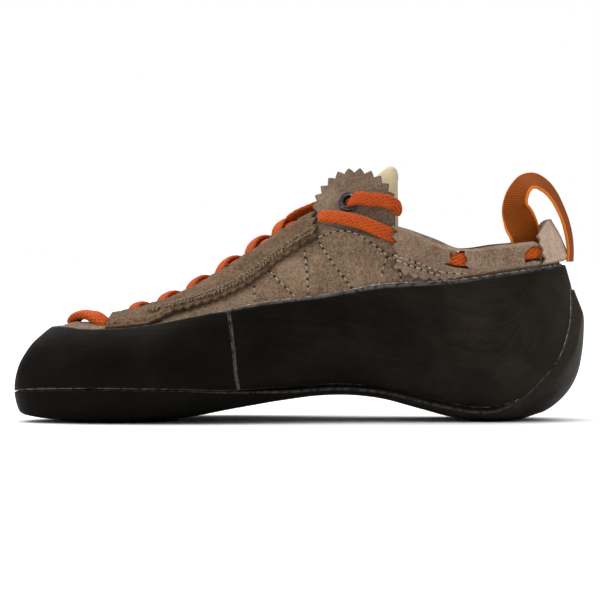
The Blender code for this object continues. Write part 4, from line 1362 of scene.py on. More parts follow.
# The overlock row on the strip and the dent under it: place, half width and height.
STAY_ROW = (3.9 * MM, 1.7 * MM, 0.55 * MM)
STAY_DENT = (1.7 * MM, 0.6 * MM, 0.30 * MM)
STAY_SEAT = 0.5 * MM
# Where the laces come out from under the eyestays, from the toe to the ankle.
STATIONS = (0.820, 0.760, 0.704, 0.648, 0.590, 0.536, 0.495)


def side_turn(side, along):
    turn = round_share(np.asarray(along, dtype=float))
    return turn if side == "medial" else -turn


def metres_of(turns, phi, offset):
    """Distance on the surface for each unit of phi."""
    small = 1e-3
    ends = [place(turns, phi + s, offset) for s in (-small, small)]
    return np.linalg.norm(ends[1] - ends[0], axis=-1) / (2 * small)


def pinked(turns, phi, offset, pitch, depth, tip, seed):
    """An edge's phi with teeth standing down from it."""
    run = lengths(place(turns, phi, offset))
    return phi - teeth(run, pitch, depth, tip, seed) / metres_of(turns, phi, offset)


def zigzag(pitch, depth, at_start, fade=4 * MM):
    """Teeth across one end of a sheet."""
    def jag(run, across, _, total):
        away = run if at_start else total - run
        weight = np.clip(1 - away / fade, 0, 1) ** 1.2
        steps = across / pitch
        saw = 1 - np.abs(2 * (steps - np.floor(steps)) - 1) * 2
        return (1 if at_start else -1) * weight * depth * saw / TURN_LENGTH
    return jag


def make_eyestay(side):
    ends = side_turn(side, [STAY_START, STAY_END])
    turns = columns(ends.min(), ends.max(), 0.42 * MM, STAY_WALL / 2)
    low = edge(turns, phi_on_line, STAY_LOWER, STAY_INSIDE)
    toothed = pinked(turns, low + 0.004, STAY_INSIDE, STAY_TOOTH, STAY_DEPTH, 1.05,
                     3 if side == "medial" else 4)
    toe = np.clip((edge_along(turns) - 0.72) / 0.05, 0, 1)
    seated = edge(turns, phi_on_line, RAND_TOP, RAND_OUTSIDE, STAY_SEAT)
    low = toothed + (np.minimum(seated, toothed) - toothed) * toe
    high = edge(turns, lambda t: phi_from_ridge(t, throat_half(t) - STAY_OVERHANG, STAY_INSIDE))
    half = STAY_WALL / 2

    def relief(points, _, across):
        at, wide, rise = STAY_ROW
        lumps = 0.5 + 0.5 * noise(points, 2.2 * MM, 43)
        loops = rise * np.exp(-((across - at) / wide) ** 4) * np.clip(lumps, 0, 1.3)
        at, wide, deep = STAY_DENT
        dent = -deep * np.exp(-((across - at) / wide) ** 2)
        return loops + dent + uneven(points, 40, (0.18, 11), (0.09, 2.4))

    piece = sheet("eyestay_" + side, turns, low, high, STAY_INSIDE + half, half, 44,
                  (STAY_SUEDE,), relief=relief, rim=STAY_RIM,
                  jag=zigzag(*STAY_END_TEETH, side == "medial"))
    return dress(piece, "suede_stay", "eyestay_" + side)


for side in SIDES:
    make_eyestay(side)

# %% [markdown]
# ## Collar bands and heel cap
# The lace runs round the collar in a tunnel under a band of suede. The band bulges over
# it, has ragged windows where the lace shows, and a pinked flap in front. A lighter
# piece covers the heel's point and its front edges are pinked too.

# %% Collar bands
BAND_START = 0.0495
BAND_END = 0.322
CAP_END = 0.046
BAND_RIM = 0.6 * MM
BAND_TEETH = (4.4 * MM, 1.5 * MM)
FLAP_START = 0.20
FLAP_FADE = 0.02
FLAP_END_TEETH = (4.6 * MM, 1.6 * MM)
CAP_TEETH = (4.6 * MM, 1.3 * MM)
TUNNEL_CLEAR = 0.3 * MM
TUNNEL_SLOPE = 3.4 * MM


def tunnel(turns, top=None):
    """Distance of a band from the last: it bulges over the lace's middle line."""
    few = np.linspace(turns.min() - 0.01, turns.max() + 0.01, COARSE)
    line = phi_on_line(few, COLLAR_LACE, BULGE_INSIDE)
    scale = metres_of(few, line, BULGE_INSIDE)
    flat = LACE_WIDTH / 2 + TUNNEL_CLEAR
    foot = flat + TUNNEL_SLOPE

    def level(turn, phi):
        away = (phi - np.interp(turn, few, line)) * np.interp(turn, few, scale)
        share = ease(np.clip((foot - np.abs(away)) / (foot - flat), 0, 1))
        if top is not None:
            share = np.where(away > 0, np.maximum(share, top), share)
        return STAY_INSIDE + BAND_WALL / 2 + (BULGE_INSIDE - STAY_INSIDE) * share
    return level


# Windows in the band as outlines on the photograph, in pixels.
WINDOW_FRONT = ((448.6, 251.5), (451.6, 254.6), (455.6, 250.9), (462.6, 250.7), (462.4, 254.2),
                (465.4, 259.6), (462.2, 263.2), (467.6, 268.6), (452.5, 266.8), (441.6, 263.6),
                (449.6, 261.0), (447.4, 256.4))
WINDOW_REAR = ((521.8, 253.2), (527.0, 248.4), (530.0, 246.4), (537.0, 246.2), (540.6, 251.6),
               (537.6, 256.6), (539.4, 261.0), (531.0, 260.4), (522.4, 262.4))


WINDOW_NEAR = 4 * MM
WINDOW_FAR = 60 * MM


def window_block(name, outline, side):
    """Prism through one side of the collar, with the outline seen from the side."""
    bm = bmesh.new()
    sign = OUTWARD[side]
    near = [bm.verts.new((pixel_x(x), sign * WINDOW_NEAR, pixel_z(y))) for x, y in outline]
    far = [bm.verts.new((pixel_x(x), sign * WINDOW_FAR, pixel_z(y))) for x, y in outline]
    count = len(outline)
    for n in range(count):
        m = (n + 1) % count
        bm.faces.new((near[n], near[m], far[m], far[n]))
    bm.faces.new(near[::-1])
    bm.faces.new(far)
    mesh = bpy.data.meshes.new(name)
    bm.to_mesh(mesh)
    bm.free()
    face_outward(mesh)
    mesh.materials.append(BAND_SUEDE)
    return add_object(name, mesh)


def carve(piece, blocks):
    """Cut blocks out of a piece for good, and delete them."""
    for block in blocks:
        modifier = piece.modifiers.new(block.name, "BOOLEAN")
        modifier.operation = "DIFFERENCE"
        modifier.solver = "EXACT"
        modifier.object = block
    bake(piece)
    for block in blocks:
        bpy.data.objects.remove(block, do_unlink=True)


def bake(piece):
    """Keep what the modifiers make as the piece's own mesh."""
    graph = bpy.context.evaluated_depsgraph_get()
    made = bpy.data.meshes.new_from_object(piece.evaluated_get(graph))
    old = piece.data
    piece.modifiers.clear()
    piece.data = made
    bpy.data.meshes.remove(old)


def make_band(side):
    ends = side_turn(side, [BAND_START, BAND_END])
    turns = columns(ends.min(), ends.max(), 0.5 * MM, BAND_WALL / 2)
    low = edge(turns, phi_on_line, BAND_LOWER, STAY_INSIDE)
    along = edge_along(turns)
    toothed = pinked(turns, low, STAY_INSIDE, *BAND_TEETH, 1.3, 5)
    flap = np.clip((along - FLAP_START) / FLAP_FADE, 0, 1)
    low = low + (toothed - low) * flap
    high = edge(turns, phi_on_line, BAND_TOP, STAY_INSIDE)
    half = BAND_WALL / 2
    piece = sheet("collar_" + side, turns, low, high, tunnel(turns), half, 46,
                  (BAND_SUEDE,), rim=BAND_RIM, jag=zigzag(*FLAP_END_TEETH, side == "lateral"),
                  relief=lambda points, *_: uneven(points, 50, (0.14, 12), (0.04, 2.6)))
    carve(piece, [window_block(f"window_{n}", outline, side)
                  for n, outline in enumerate((WINDOW_FRONT, WINDOW_REAR))])
    return dress(piece, "suede_band", "collar_" + side)


def make_heel_cap():
    end = round_share(CAP_END)
    turns = columns(-end, end, 0.45 * MM, BAND_WALL / 2)
    low = edge(turns, phi_on_line, BAND_LOWER, STAY_INSIDE)
    high = edge(turns, phi_on_line, CAP_TOP, BULGE_INSIDE)
    half = BAND_WALL / 2
    first, last = (zigzag(*CAP_TEETH, at_start) for at_start in (True, False))
    piece = sheet("heel_cap", turns, low, high, tunnel(turns, top=1.0), half, 50, (CAP_SUEDE,),
                  rim=BAND_RIM, jag=lambda *at: first(*at) + last(*at),
                  relief=lambda points, *_: uneven(points, 60, (0.16, 13), (0.04, 2.6)))
    return dress(piece, "suede_cap", "heel_cap")


for side in SIDES:
    band = make_band(side)
    print("collar band faces:", side, len(band.data.polygons))
make_heel_cap()

# %% [markdown]
# ## Tabs and eyelets
# Two half-round tabs stand up at the top of the throat, tucked in under the upper. Each
# carries a rolled metal eyelet. A tab is built in rings round its eyelet, so that the
# pinked outline and the hole both stay round.

# %% Tabs
TAB_ALONG = 0.395
TAB_RISE = 8.8 * MM
TAB_TUCK = 4.0 * MM
TAB_ROOT_HEIGHT = INSTEP_HEIGHT * float(
    smooth(COLLAR_EDGE["along"], COLLAR_EDGE["height"], np.array(TAB_ALONG)))
TAB_CENTRE_HEIGHT = TAB_ROOT_HEIGHT + TAB_RISE
TAB_BASE_HEIGHT = TAB_ROOT_HEIGHT - TAB_TUCK
TAB_UPRIGHT = 0.25
EYELET_FORWARD = 2.2 * MM
EYELET_RISE = 4.0 * MM
TAB_X = HEEL_BACK - TAB_ALONG * LAST_LENGTH
TAB_TEETH = 24
TAB_TOOTH = 2.1 * MM
TAB_NOTCH = 1.35 * MM
TAB_SHOULDER = 0.5 * MM
TAB_RIM = 0.7 * MM
TAB_SPAN = 26 * MM
TAB_FREE = 20 * MM


class TabSurface:
    """The tab's surface: on the last below its root, on the tangent above it."""

    def __init__(self, side):
        self.side = side
        self.xs = np.linspace(TAB_X - TAB_SPAN, TAB_X + TAB_SPAN, 53)
        turns = side_turn(side, (HEEL_BACK - self.xs) / LAST_LENGTH)
        root = self.phi_at(turns, TAB_ROOT_HEIGHT)
        rise = unit(place(turns, root + 0.01, 0.0) - place(turns, root - 0.01, 0.0))
        rise = unit(rise + TAB_UPRIGHT * np.array([0.0, 0.0, 1.0]))
        self.foot, self.out = place(turns, root, 0.0), last_normal(turns, root)
        self.rise = rise / rise[:, 2:]

    @staticmethod
    def phi_at(turns, height):
        points = place(turns[:, None], PHI_SCAN[None, :], 0.0)
        return first_crossing(points[..., 2] - height)

    def point(self, x, height, offset):
        x, height, offset = np.broadcast_arrays(x, height, offset)

        def read(table):
            return np.stack([np.interp(x, self.xs, table[:, n]) for n in range(3)], axis=-1)
        above = np.maximum(height - TAB_ROOT_HEIGHT, -TAB_TUCK)[..., None]
        base = read(self.foot) + read(self.rise) * above
        lean = np.clip((TAB_ROOT_HEIGHT - height) / TAB_TUCK, 0, 1)[..., None]
        base = base + np.array([0.0, OUTWARD[self.side], 0.0]) * lean ** 2 * 0.6 * MM
        return base + read(self.out) * offset[..., None]

    def normal(self, x, height):
        step = 0.5 * MM
        forward = self.point(x - step, height, 0.0) - self.point(x + step, height, 0.0)
        upward = self.point(x, height + step, 0.0) - self.point(x, height - step, 0.0)
        found = unit(np.cross(upward, forward))
        return found * np.sign(found[..., 1:2]) * OUTWARD[self.side]


TABS = {side: TabSurface(side) for side in SIDES}
EYELET_X = TAB_X - EYELET_FORWARD
EYELET_Z = TAB_CENTRE_HEIGHT + EYELET_RISE
HOLE = EYELET_BORE + EYELET_BARREL + 0.1 * MM


def tab_outline(angles):
    """Distance from the eyelet to the tab's pinked outline in each direction."""
    reach = np.arange(4.0, 34.0, 0.03) * MM
    x = EYELET_X + np.cos(angles)[:, None] * reach - TAB_X
    z = EYELET_Z + np.sin(angles)[:, None] * reach - TAB_CENTRE_HEIGHT
    polar = np.arctan2(z, x)
    steps = polar / np.pi * TAB_TEETH / 2
    tooth = 1 - np.abs(2 * (steps - np.floor(steps)) - 1) ** 1.08
    edge_radius = TAB_RADIUS - TAB_NOTCH + TAB_TOOTH * tooth
    inside = np.where(z >= 0, np.hypot(x, z) < edge_radius,
                      (np.abs(x) < TAB_RADIUS - TAB_SHOULDER)
                      & (z > TAB_BASE_HEIGHT - TAB_CENTRE_HEIGHT))
    return reach[np.argmin(inside, axis=1)]


def make_tab(side):
    surface = TABS[side]
    angles = np.linspace(0, 2 * np.pi, 480, endpoint=False)
    far = tab_outline(angles)
    rim = TAB_RIM
    steps = rim_steps(rim)
    body = np.linspace(0, 1, 22)[1:-1]
    rings = np.concatenate([HOLE + steps[None, :] + 0 * far[:, None],
                            HOLE + rim + (far - HOLE - 2 * rim)[:, None] * body,
                            far[:, None] - steps[::-1]], axis=1)
    x = EYELET_X + np.cos(angles)[:, None] * rings
    z = EYELET_Z + np.sin(angles)[:, None] * rings
    dist = np.minimum(rings - HOLE, far[:, None] - rings)
    half = TAB_WALL / 2
    shape = half * quarter_round(dist / rim)
    middle = surface.point(x, z, TAB_OUTSIDE - half)
    high = np.clip((z - TAB_ROOT_HEIGHT) / TAB_FREE, 0, 1)
    sway = uneven(middle, 70, (0.35, 16), (0.05, 3)) * high
    outer = surface.point(x, z, TAB_OUTSIDE - half + shape + sway)
    inner = surface.point(x, z, TAB_OUTSIDE - half - shape + sway)
    piece = two_faced("tab_" + side, outer, inner, angles * 12 * MM, rings, dist, True,
                      (TAB_SUEDE,))
    face_outward(piece.data)
    return dress(piece, "suede", "tab_" + side)


# %% Eyelets
FLANGE_SWELL = 1.25
FLANGE_LIFT = 0.2 * MM


def make_eyelet(side):
    """Turned in one piece: a rolled outer rim, a groove and an inner rolled lip."""
    seat, flat = TAB_WALL / 2, EYELET_FLANGE
    r, bore = EYELET_RADIUS, EYELET_BORE
    face = [(bore, 0.0), (bore, 0.45), (bore + 0.12 * MM, 0.80), (bore + 0.38 * MM, 0.98),
            (bore + 0.66 * MM, 0.92), (bore + 0.88 * MM, 0.66), (bore + 1.02 * MM, 0.60),
            (bore + 1.22 * MM, 0.72), (bore + 1.50 * MM, 0.86), (r - 0.42 * MM, 0.74),
            (r - 0.12 * MM, 0.48), (r, 0.16), (r - 0.02 * MM, 0.02), (r - 0.2 * MM, -0.12)]
    front = [(radius, seat + share * flat * FLANGE_SWELL + FLANGE_LIFT)
             for radius, share in face[1:]]
    profile = front + [(radius, -height) for radius, height in front[::-1]]
    steps = 72
    surface = TABS[side]
    x, z = np.array(EYELET_X), np.array(EYELET_Z)
    centre = surface.point(x, z, TAB_OUTSIDE - TAB_WALL / 2)
    normal = surface.normal(x, z)
    first = unit(np.cross(normal, np.array([0.0, 0.0, 1.0])))
    second = np.cross(normal, first)
    angle = 2 * np.pi * np.arange(steps) / steps
    ring = np.cos(angle)[:, None] * first + np.sin(angle)[:, None] * second
    radius = np.array([p[0] for p in profile])
    height = np.array([p[1] for p in profile])
    verts = centre + ring[:, None] * radius[None, :, None] + normal * height[None, :, None]
    piece = build("eyelet_" + side, verts.reshape(-1, 3),
                  ring_faces(steps, len(profile), closed=True), materials=(GUNMETAL,))
    face_outward(piece.data)
    return dress(piece, "gunmetal", "eyelet_" + side)


for side in SIDES:
    tab = make_tab(side)
    make_eyelet(side)
    print("tab faces:", side, len(tab.data.polygons))

# %% [markdown]
# ## Laces
# A flat braid a little under 6 mm wide. One length comes out from under the eyestay,
# runs round the collar in its tunnel and back. The rest goes from side to side over the
# tongue, and its two ends go up behind the tabs, out through the eyelets and round the
# tabs' rear edges.

# %% Braid
PLAIT = 2.6 * MM
PLAIT_HEIGHT = 0.19 * MM
LACE_TAPER = 1.2 * MM
CARRIERS = 8


def braid(run, around, _):
    """Height of a braid: plaits that lean both ways and take turns on top."""
    one = run / PLAIT + around * CARRIERS
    two = run / PLAIT - around * CARRIERS
    first = (np.floor(one) + np.floor(two)) % 2 < 1
    share = np.where(first, one, two)
    share = share - np.floor(share)
    return PLAIT_HEIGHT * np.sqrt(np.clip(np.sin(np.pi * share), 0, 1))


def lace(name, points, out, width=LACE_WIDTH + 0.3 * MM, thick=LACE_THICK - 0.3 * MM):
    """Braided lace along points, with the way its flat side faces at each."""
    both = path(np.concatenate([points, out], axis=1), 0.33 * MM)
    line, facing = both[:, :3], unit(both[:, 3:])
    wide, up = sides_of(line, facing)
    return tube(name, line, wide, up, width, thick, (LACE,), relief=braid, taper=LACE_TAPER)


def join(name, things):
    """One object from several."""
    for thing in bpy.context.selected_objects:
        thing.select_set(False)
    for thing in things:
        thing.select_set(True)
    bpy.context.view_layer.objects.active = things[0]
    bpy.ops.object.join()
    things[0].name = name
    return things[0]


# %% Lace round the collar
WINDOW_PLACES = (0.206, 0.066)
WINDOW_REACH = 0.022
WINDOW_LIFT = 1.7 * MM
FRONT_LIFT = 0.9 * MM


def make_collar_lace():
    end = round_share(STAY_START) - 0.004
    turns = np.linspace(-end, end, 121)
    phi = phi_on_line(turns, COLLAR_LACE, LACE_CENTRE)
    along = edge_along(turns)
    lift = sum(WINDOW_LIFT * np.exp(-((along - a) / WINDOW_REACH) ** 2) for a in WINDOW_PLACES)
    front = FRONT_LIFT * np.clip((along - 0.33) / 0.04, 0, 1)
    points = place(turns, phi, LACE_CENTRE + lift + front)
    piece = lace("lace_collar", points, last_normal(turns, phi))
    return dress(piece, "lace", "lace_collar")


make_collar_lace()

# %% Laces across the throat
LACE_TUCK = 2.8 * MM
LACE_CLEAR = 1.4 * MM
LACE_LOW = 0.9 * MM
LACE_OVER = 5.3 * MM
LACE_UNDER = 3.0 * MM
LACE_SPREAD = -1.6 * MM
CROSS_COUNT = 6


def strand(start, end, hump, seed):
    points, out = [], []
    for share in np.linspace(-1, 1, 25):
        along = start + (end - start) * (share + 1) / 2
        turn = np.array([side_turn("medial" if share < 0 else "lateral", along)])
        half = throat_half(turn)[0]
        away = abs(share) * (half - LACE_TUCK)
        free = half - STAY_OVERHANG - LACE_CLEAR
        rise = math.sin(RIGHT_ANGLE * min(max(1 - away / free, 0), 1)) ** 0.6
        offset = LACE_LOW + (hump - LACE_LOW) * rise
        phi = phi_from_ridge(turn, np.array([away]), 0.0) if away > 0 else np.array([1.0])
        points.append(place(turn, phi, offset)[0])
        out.append(last_normal(turn, phi)[0])
    points = np.array(points)
    points[:, 2] += 0.25 * MM * np.sin(np.linspace(0, 9, 25) + seed)
    return points, np.array(out)


for number in range(CROSS_COUNT):
    spread = LACE_SPREAD / LAST_LENGTH
    fore, back = STATIONS[number] - spread, STATIONS[number + 1] + spread
    over = lace("over", *strand(fore, back, LACE_OVER, number))
    under = lace("under", *strand(back, fore, LACE_UNDER, number + 3))
    name = f"lace_cross_{number + 1}"
    dress(join(name, [over, under]), "lace", name)

# %% Toe bar and the two ends
# The toe bar's middle line: x and z in pixels, y in mm.
TOE_BAR = ((110, 325.0, -24.5), (105, 321.5, -24.0), (98.5, 317.0, -22.0), (91, 314.6, -18.5),
           (84, 314.2, -14.5), (78, 316.5, -11.0), (74.5, 320.0, -9.0), (72.5, 324.5, -8.0))


def make_toe_bar():
    points = np.array([(pixel_x(x), y * MM, pixel_z(z)) for x, z, y in TOE_BAR])
    out = np.array([(-0.25, -0.55, 0.8)] * 3 + [(-0.1, -0.15, 1.0)] * 2 + [(-0.4, 0.5, 0.8)] * 3)
    return dress(lace("lace_toe", points, out, width=6.0 * MM, thick=3.6 * MM),
                 "lace", "lace_toe")


# The lace outside a tab, from its eyelet round the rear edge, in shares of TAB_RADIUS.
LACE_END = table(
    "behind above outside",
    (0.250, 0.040, 0.150),
    (0.478, 0.010, 0.150),
    (0.775, 0.000, 0.115),
    (0.980, -0.060, 0.105),
    (1.080, -0.120, 0.060),
    (1.100, -0.200, -0.030),
    (1.050, -0.280, -0.110),
)
# The strand behind a tab: x and z in pixels, y in mm towards the ridge.
RISING = ((287, 221, 2.0), (297, 214.0, 1.5), (307, 209.5, 1.0), (318, 205.3, 0.0),
          (330, 203.0, -2.5), (341, 201.6, -5.5))


def make_lace_end(side):
    surface = TABS[side]
    sign = -OUTWARD[side]
    points, out = [], []
    for x, z, y in RISING:
        points.append((pixel_x(x), sign * y * MM, pixel_z(z)))
        out.append((-0.4, -sign * 0.5, 0.8))
    x, z = np.array(EYELET_X), np.array(EYELET_Z)
    normal = surface.normal(x, z)
    for away, behind in ((-4.2, 0.0), (-1.4, 0.4), (1.0, 1.4)):
        aside = np.array([behind * MM, 0.0, 0.0])
        points.append(surface.point(x, z, TAB_OUTSIDE) + normal * away * MM + aside)
        out.append((-0.6, -sign * 0.4, 0.5))
    for n in range(len(LACE_END["behind"])):
        x = np.array(EYELET_X + TAB_RADIUS * LACE_END["behind"][n])
        z = np.array(EYELET_Z + TAB_RADIUS * LACE_END["above"][n])
        normal = surface.normal(x, z)
        away = TAB_RADIUS * LACE_END["outside"][n]
        points.append(surface.point(x, z, TAB_OUTSIDE) + normal * away)
        out.append(normal)
    piece = lace("lace_end_" + side, np.array(points), np.array(out), thick=2.0 * MM)
    return dress(piece, "lace", "lace_end_" + side)


make_toe_bar()
for side in SIDES:
    make_lace_end(side)
print("laces:", CROSS_COUNT, "crossings, toe bar, collar run and two ends")

# %% [markdown]
# ## Pull loop
# A strip of ribbed webbing with a raised woven rim, painted bright as a highlight, sewn on
# behind the heel cap. It goes up, turns over with half a twist and comes down inside the
# collar. The photograph's lettering on it is left off.

# %% Pull loop
LOOP_SIZE = 36.0 * MM
# The webbing's middle line from the heel cap's top, in shares of LOOP_SIZE, and the
# direction of its width.
LOOP_ROUTE = table(
    "behind across above wide_x wide_y wide_z",
    (0.04590, 0.0000, -0.4528, -0.22, -0.97, 0.00),
    (0.04870, 0.0000, -0.2917, -0.22, -0.97, 0.00),
    (0.02920, 0.0000, -0.1250, -0.24, -0.97, 0.00),
    (-0.01240, 0.0000, 0.0417, -0.25, -0.97, -0.02),
    (-0.07630, -0.0111, 0.1972, -0.25, -0.96, -0.08),
    (-0.15410, -0.0333, 0.3389, -0.24, -0.95, -0.18),
    (-0.24850, -0.0611, 0.4472, -0.18, -0.92, -0.32),
    (-0.37350, -0.0944, 0.5139, -0.04, -0.89, -0.44),
    (-0.49580, -0.1278, 0.4917, 0.22, -0.87, -0.43),
    (-0.59020, -0.1611, 0.3639, 0.50, -0.81, -0.30),
    (-0.62350, -0.1944, 0.1917, 0.74, -0.67, -0.05),
    (-0.57081, -0.2333, 0.0361, 0.95, -0.20, 0.10),
    (-0.51242, -0.2722, -0.1361, 0.93, 0.30, 0.10),
    (-0.49021, -0.3056, -0.3194, 0.89, 0.46, 0.00),
    (-0.48183, -0.3333, -0.4861, 0.89, 0.46, 0.00),
)


RIB_HEIGHT = 0.07 * MM
WOVEN_RIM_START = 0.84
WOVEN_RIM_HEIGHT = 0.16 * MM


def ribbed(run, _, across):
    """Fine ribs across the webbing and a raised rim along each side."""
    rim = np.clip((np.abs(across) - WOVEN_RIM_START) / 0.06, 0, 1)
    ribs = RIB_HEIGHT * np.sin(2 * np.pi * run / (RIB_PITCH * MM)) * (1 - rim)
    return ribs + WOVEN_RIM_HEIGHT * rim


def make_pull_loop():
    cap_top = INSTEP_HEIGHT * float(smooth(CAP_TOP["along"], CAP_TOP["height"], np.array(0.0)))
    points = np.stack([LOOP_ROUTE[n] for n in ("behind", "across", "above")], axis=-1)
    points = points * LOOP_SIZE + np.array([HEEL_BACK, 0.0, cap_top])
    wide = np.stack([LOOP_ROUTE[n] for n in ("wide_x", "wide_y", "wide_z")], axis=-1)
    both = path(np.concatenate([points, wide], axis=1), 0.25 * MM)
    line = both[:, :3]
    run = unit(np.gradient(line, axis=0))
    across = both[:, 3:]
    across = unit(across - run * np.sum(across * run, axis=1, keepdims=True))
    piece = tube("pull_loop", line, across, np.cross(run, across), WEBBING_WIDTH,
                 WEBBING_THICK - 0.2 * MM, (WEBBING,), sides=64, power=7.0, relief=ribbed)
    return dress(piece, "webbing", "pull_loop")


make_pull_loop()

# %% [markdown]
# ## Stitching
# Threads and pinholes repeat along drawn lines, so one node group places them all: it
# takes a line, spaces points along it at the stitch pitch, and puts a thread or a hole
# at each, turned along the line and square to the leather. The line carries the
# leather's outward direction as an attribute.

# %% Thread and pinhole shapes
def make_thread_shape(name, material, length, width, arch, twist=2.0, ahead=0.0):
    """One stitch: two plies that dive into the leather at both ends."""
    steps, sides = 13, 6
    verts, faces = [], []
    for ply in (0.0, math.pi):
        start = len(verts)
        for n in range(steps):
            s = n / (steps - 1)
            x = (s - 0.5) * length + ahead
            rise = arch * math.sin(math.pi * s) ** 0.6 - 0.15 * arch
            phase = ply + twist * 2 * math.pi * s
            y, z = 0.26 * width * math.cos(phase), 0.26 * width * math.sin(phase) + rise
            for corner in range(sides):
                angle = 2 * math.pi * corner / sides
                radius = 0.27 * width
                verts.append((x, y + radius * math.cos(angle), z + radius * math.sin(angle)))
        for n in range(steps - 1):
            for corner in range(sides):
                a = start + n * sides + corner
                b = start + n * sides + (corner + 1) % sides
                faces.append((a, a + sides, b + sides, b))
        faces.append(tuple(range(start, start + sides)))
        last = start + (steps - 1) * sides
        faces.append(tuple(range(last + sides - 1, last - 1, -1)))
    return hidden_shape(name, verts, faces, material)


def make_hole_shape(name, material, radius):
    """A needle hole: a small dish, coloured as painted shade for the dark pit."""
    sides = 10
    verts = [(0.0, 0.0, 0.02 * MM)]
    for share, height in ((0.55, 0.05), (1.0, 0.09), (1.15, -0.10)):
        for n in range(sides):
            angle = 2 * math.pi * n / sides
            verts.append((radius * share * math.cos(angle), radius * share * math.sin(angle),
                          height * MM))
    faces = [(0, 1 + n, 1 + (n + 1) % sides) for n in range(sides)]
    for ring in range(2):
        for n in range(sides):
            a, b = 1 + ring * sides + n, 1 + ring * sides + (n + 1) % sides
            faces.append((a, a + sides, b + sides, b))
    faces.append(tuple(1 + 2 * sides + n for n in range(sides))[::-1])
    return hidden_shape(name, verts, faces, material)


def hidden_shape(name, verts, faces, material):
    mesh = bpy.data.meshes.new(name)
    mesh.from_pydata(verts, [], faces)
    face_outward(mesh)
    mesh.polygons.foreach_set("use_smooth", np.ones(len(mesh.polygons), dtype=bool))
    mesh.materials.append(material)
    return bpy.data.objects.new(name, mesh)


# %% Node group that sews
def sewing_group():
    """Line in, one shape at every pitch out; named inputs, with a fixed seed."""
    group = bpy.data.node_groups.new("sew along line", "GeometryNodeTree")
    face = group.interface
    face.new_socket("Line", in_out="INPUT", socket_type="NodeSocketGeometry")
    for name, kind, value in (("Shape", "NodeSocketObject", None),
                              ("Pitch", "NodeSocketFloat", 0.003),
                              ("Size Variation", "NodeSocketFloat", 0.1),
                              ("Turn Variation", "NodeSocketFloat", 0.1),
                              ("Slant", "NodeSocketFloat", 0.0),
                              ("Seed", "NodeSocketInt", 1),
                              ("Material", "NodeSocketMaterial", None)):
        made = face.new_socket(name, in_out="INPUT", socket_type=kind)
        if value is not None:
            made.default_value = value
    face.new_socket("Stitches", in_out="OUTPUT", socket_type="NodeSocketGeometry")
    nodes, links = group.nodes, group.links
    given = nodes.new("NodeGroupInput")
    result = nodes.new("NodeGroupOutput")

    def add(kind, properties=None, inputs=None):
        node = nodes.new(kind)
        for key, value in (properties or {}).items():
            setattr(node, key, value)
        for key, value in (inputs or {}).items():
            if isinstance(value, bpy.types.NodeSocket):
                links.new(value, node.inputs[key])
            else:
                node.inputs[key].default_value = value
        return node

    curve = add("GeometryNodeMeshToCurve", None, {"Mesh": given.outputs["Line"]})
    spaced = add("GeometryNodeResampleCurve", {"mode": "LENGTH"},
                 {"Curve": curve.outputs[0], "Length": given.outputs["Pitch"]})
    outward = add("GeometryNodeInputNamedAttribute", {"data_type": "FLOAT_VECTOR"},
                  {"Name": "outward"})
    along = add("GeometryNodeInputTangent")
    lie = add("FunctionNodeAxesToRotation", {"primary_axis": "Z", "secondary_axis": "X"},
              {"Primary Axis": outward.outputs[0], "Secondary Axis": along.outputs[0]})
    wobble = add("FunctionNodeRandomValue", {"data_type": "FLOAT"},
                 {"Seed": given.outputs["Seed"]})
    spread = add("ShaderNodeMath", {"operation": "MULTIPLY"},
                 {0: given.outputs["Turn Variation"], 1: -1.0})
    links.new(spread.outputs[0], wobble.inputs[2])
    links.new(given.outputs["Turn Variation"], wobble.inputs[3])
    slanted = add("ShaderNodeMath", {"operation": "ADD"},
                  {0: wobble.outputs[1], 1: given.outputs["Slant"]})
    spin = add("ShaderNodeCombineXYZ", None, {2: slanted.outputs[0]})
    turned = add("FunctionNodeEulerToRotation", None, {0: spin.outputs[0]})
    facing = add("FunctionNodeRotateRotation", {"rotation_space": "LOCAL"},
                 {0: lie.outputs[0], 1: turned.outputs[0]})
    low = add("ShaderNodeMath", {"operation": "SUBTRACT"},
              {0: 1.0, 1: given.outputs["Size Variation"]})
    high = add("ShaderNodeMath", {"operation": "ADD"},
               {0: 1.0, 1: given.outputs["Size Variation"]})
    size = add("FunctionNodeRandomValue", {"data_type": "FLOAT"}, {"Seed": 7})
    links.new(low.outputs[0], size.inputs[2])
    links.new(high.outputs[0], size.inputs[3])
    shape = add("GeometryNodeObjectInfo", None, {"Object": given.outputs["Shape"]})
    placed = add("GeometryNodeInstanceOnPoints", None,
                 {"Points": spaced.outputs[0], "Instance": shape.outputs["Geometry"],
                  "Rotation": facing.outputs[0], "Scale": size.outputs[1]})
    real = add("GeometryNodeRealizeInstances", None, {0: placed.outputs[0]})
    painted = add("GeometryNodeSetMaterial", None,
                  {"Geometry": real.outputs[0], "Material": given.outputs["Material"]})
    links.new(painted.outputs[0], result.inputs[0])
    return group


SEW = sewing_group()
INPUT_IDS = {item.name: item.identifier for item in SEW.interface.items_tree
             if item.in_out == "INPUT"}


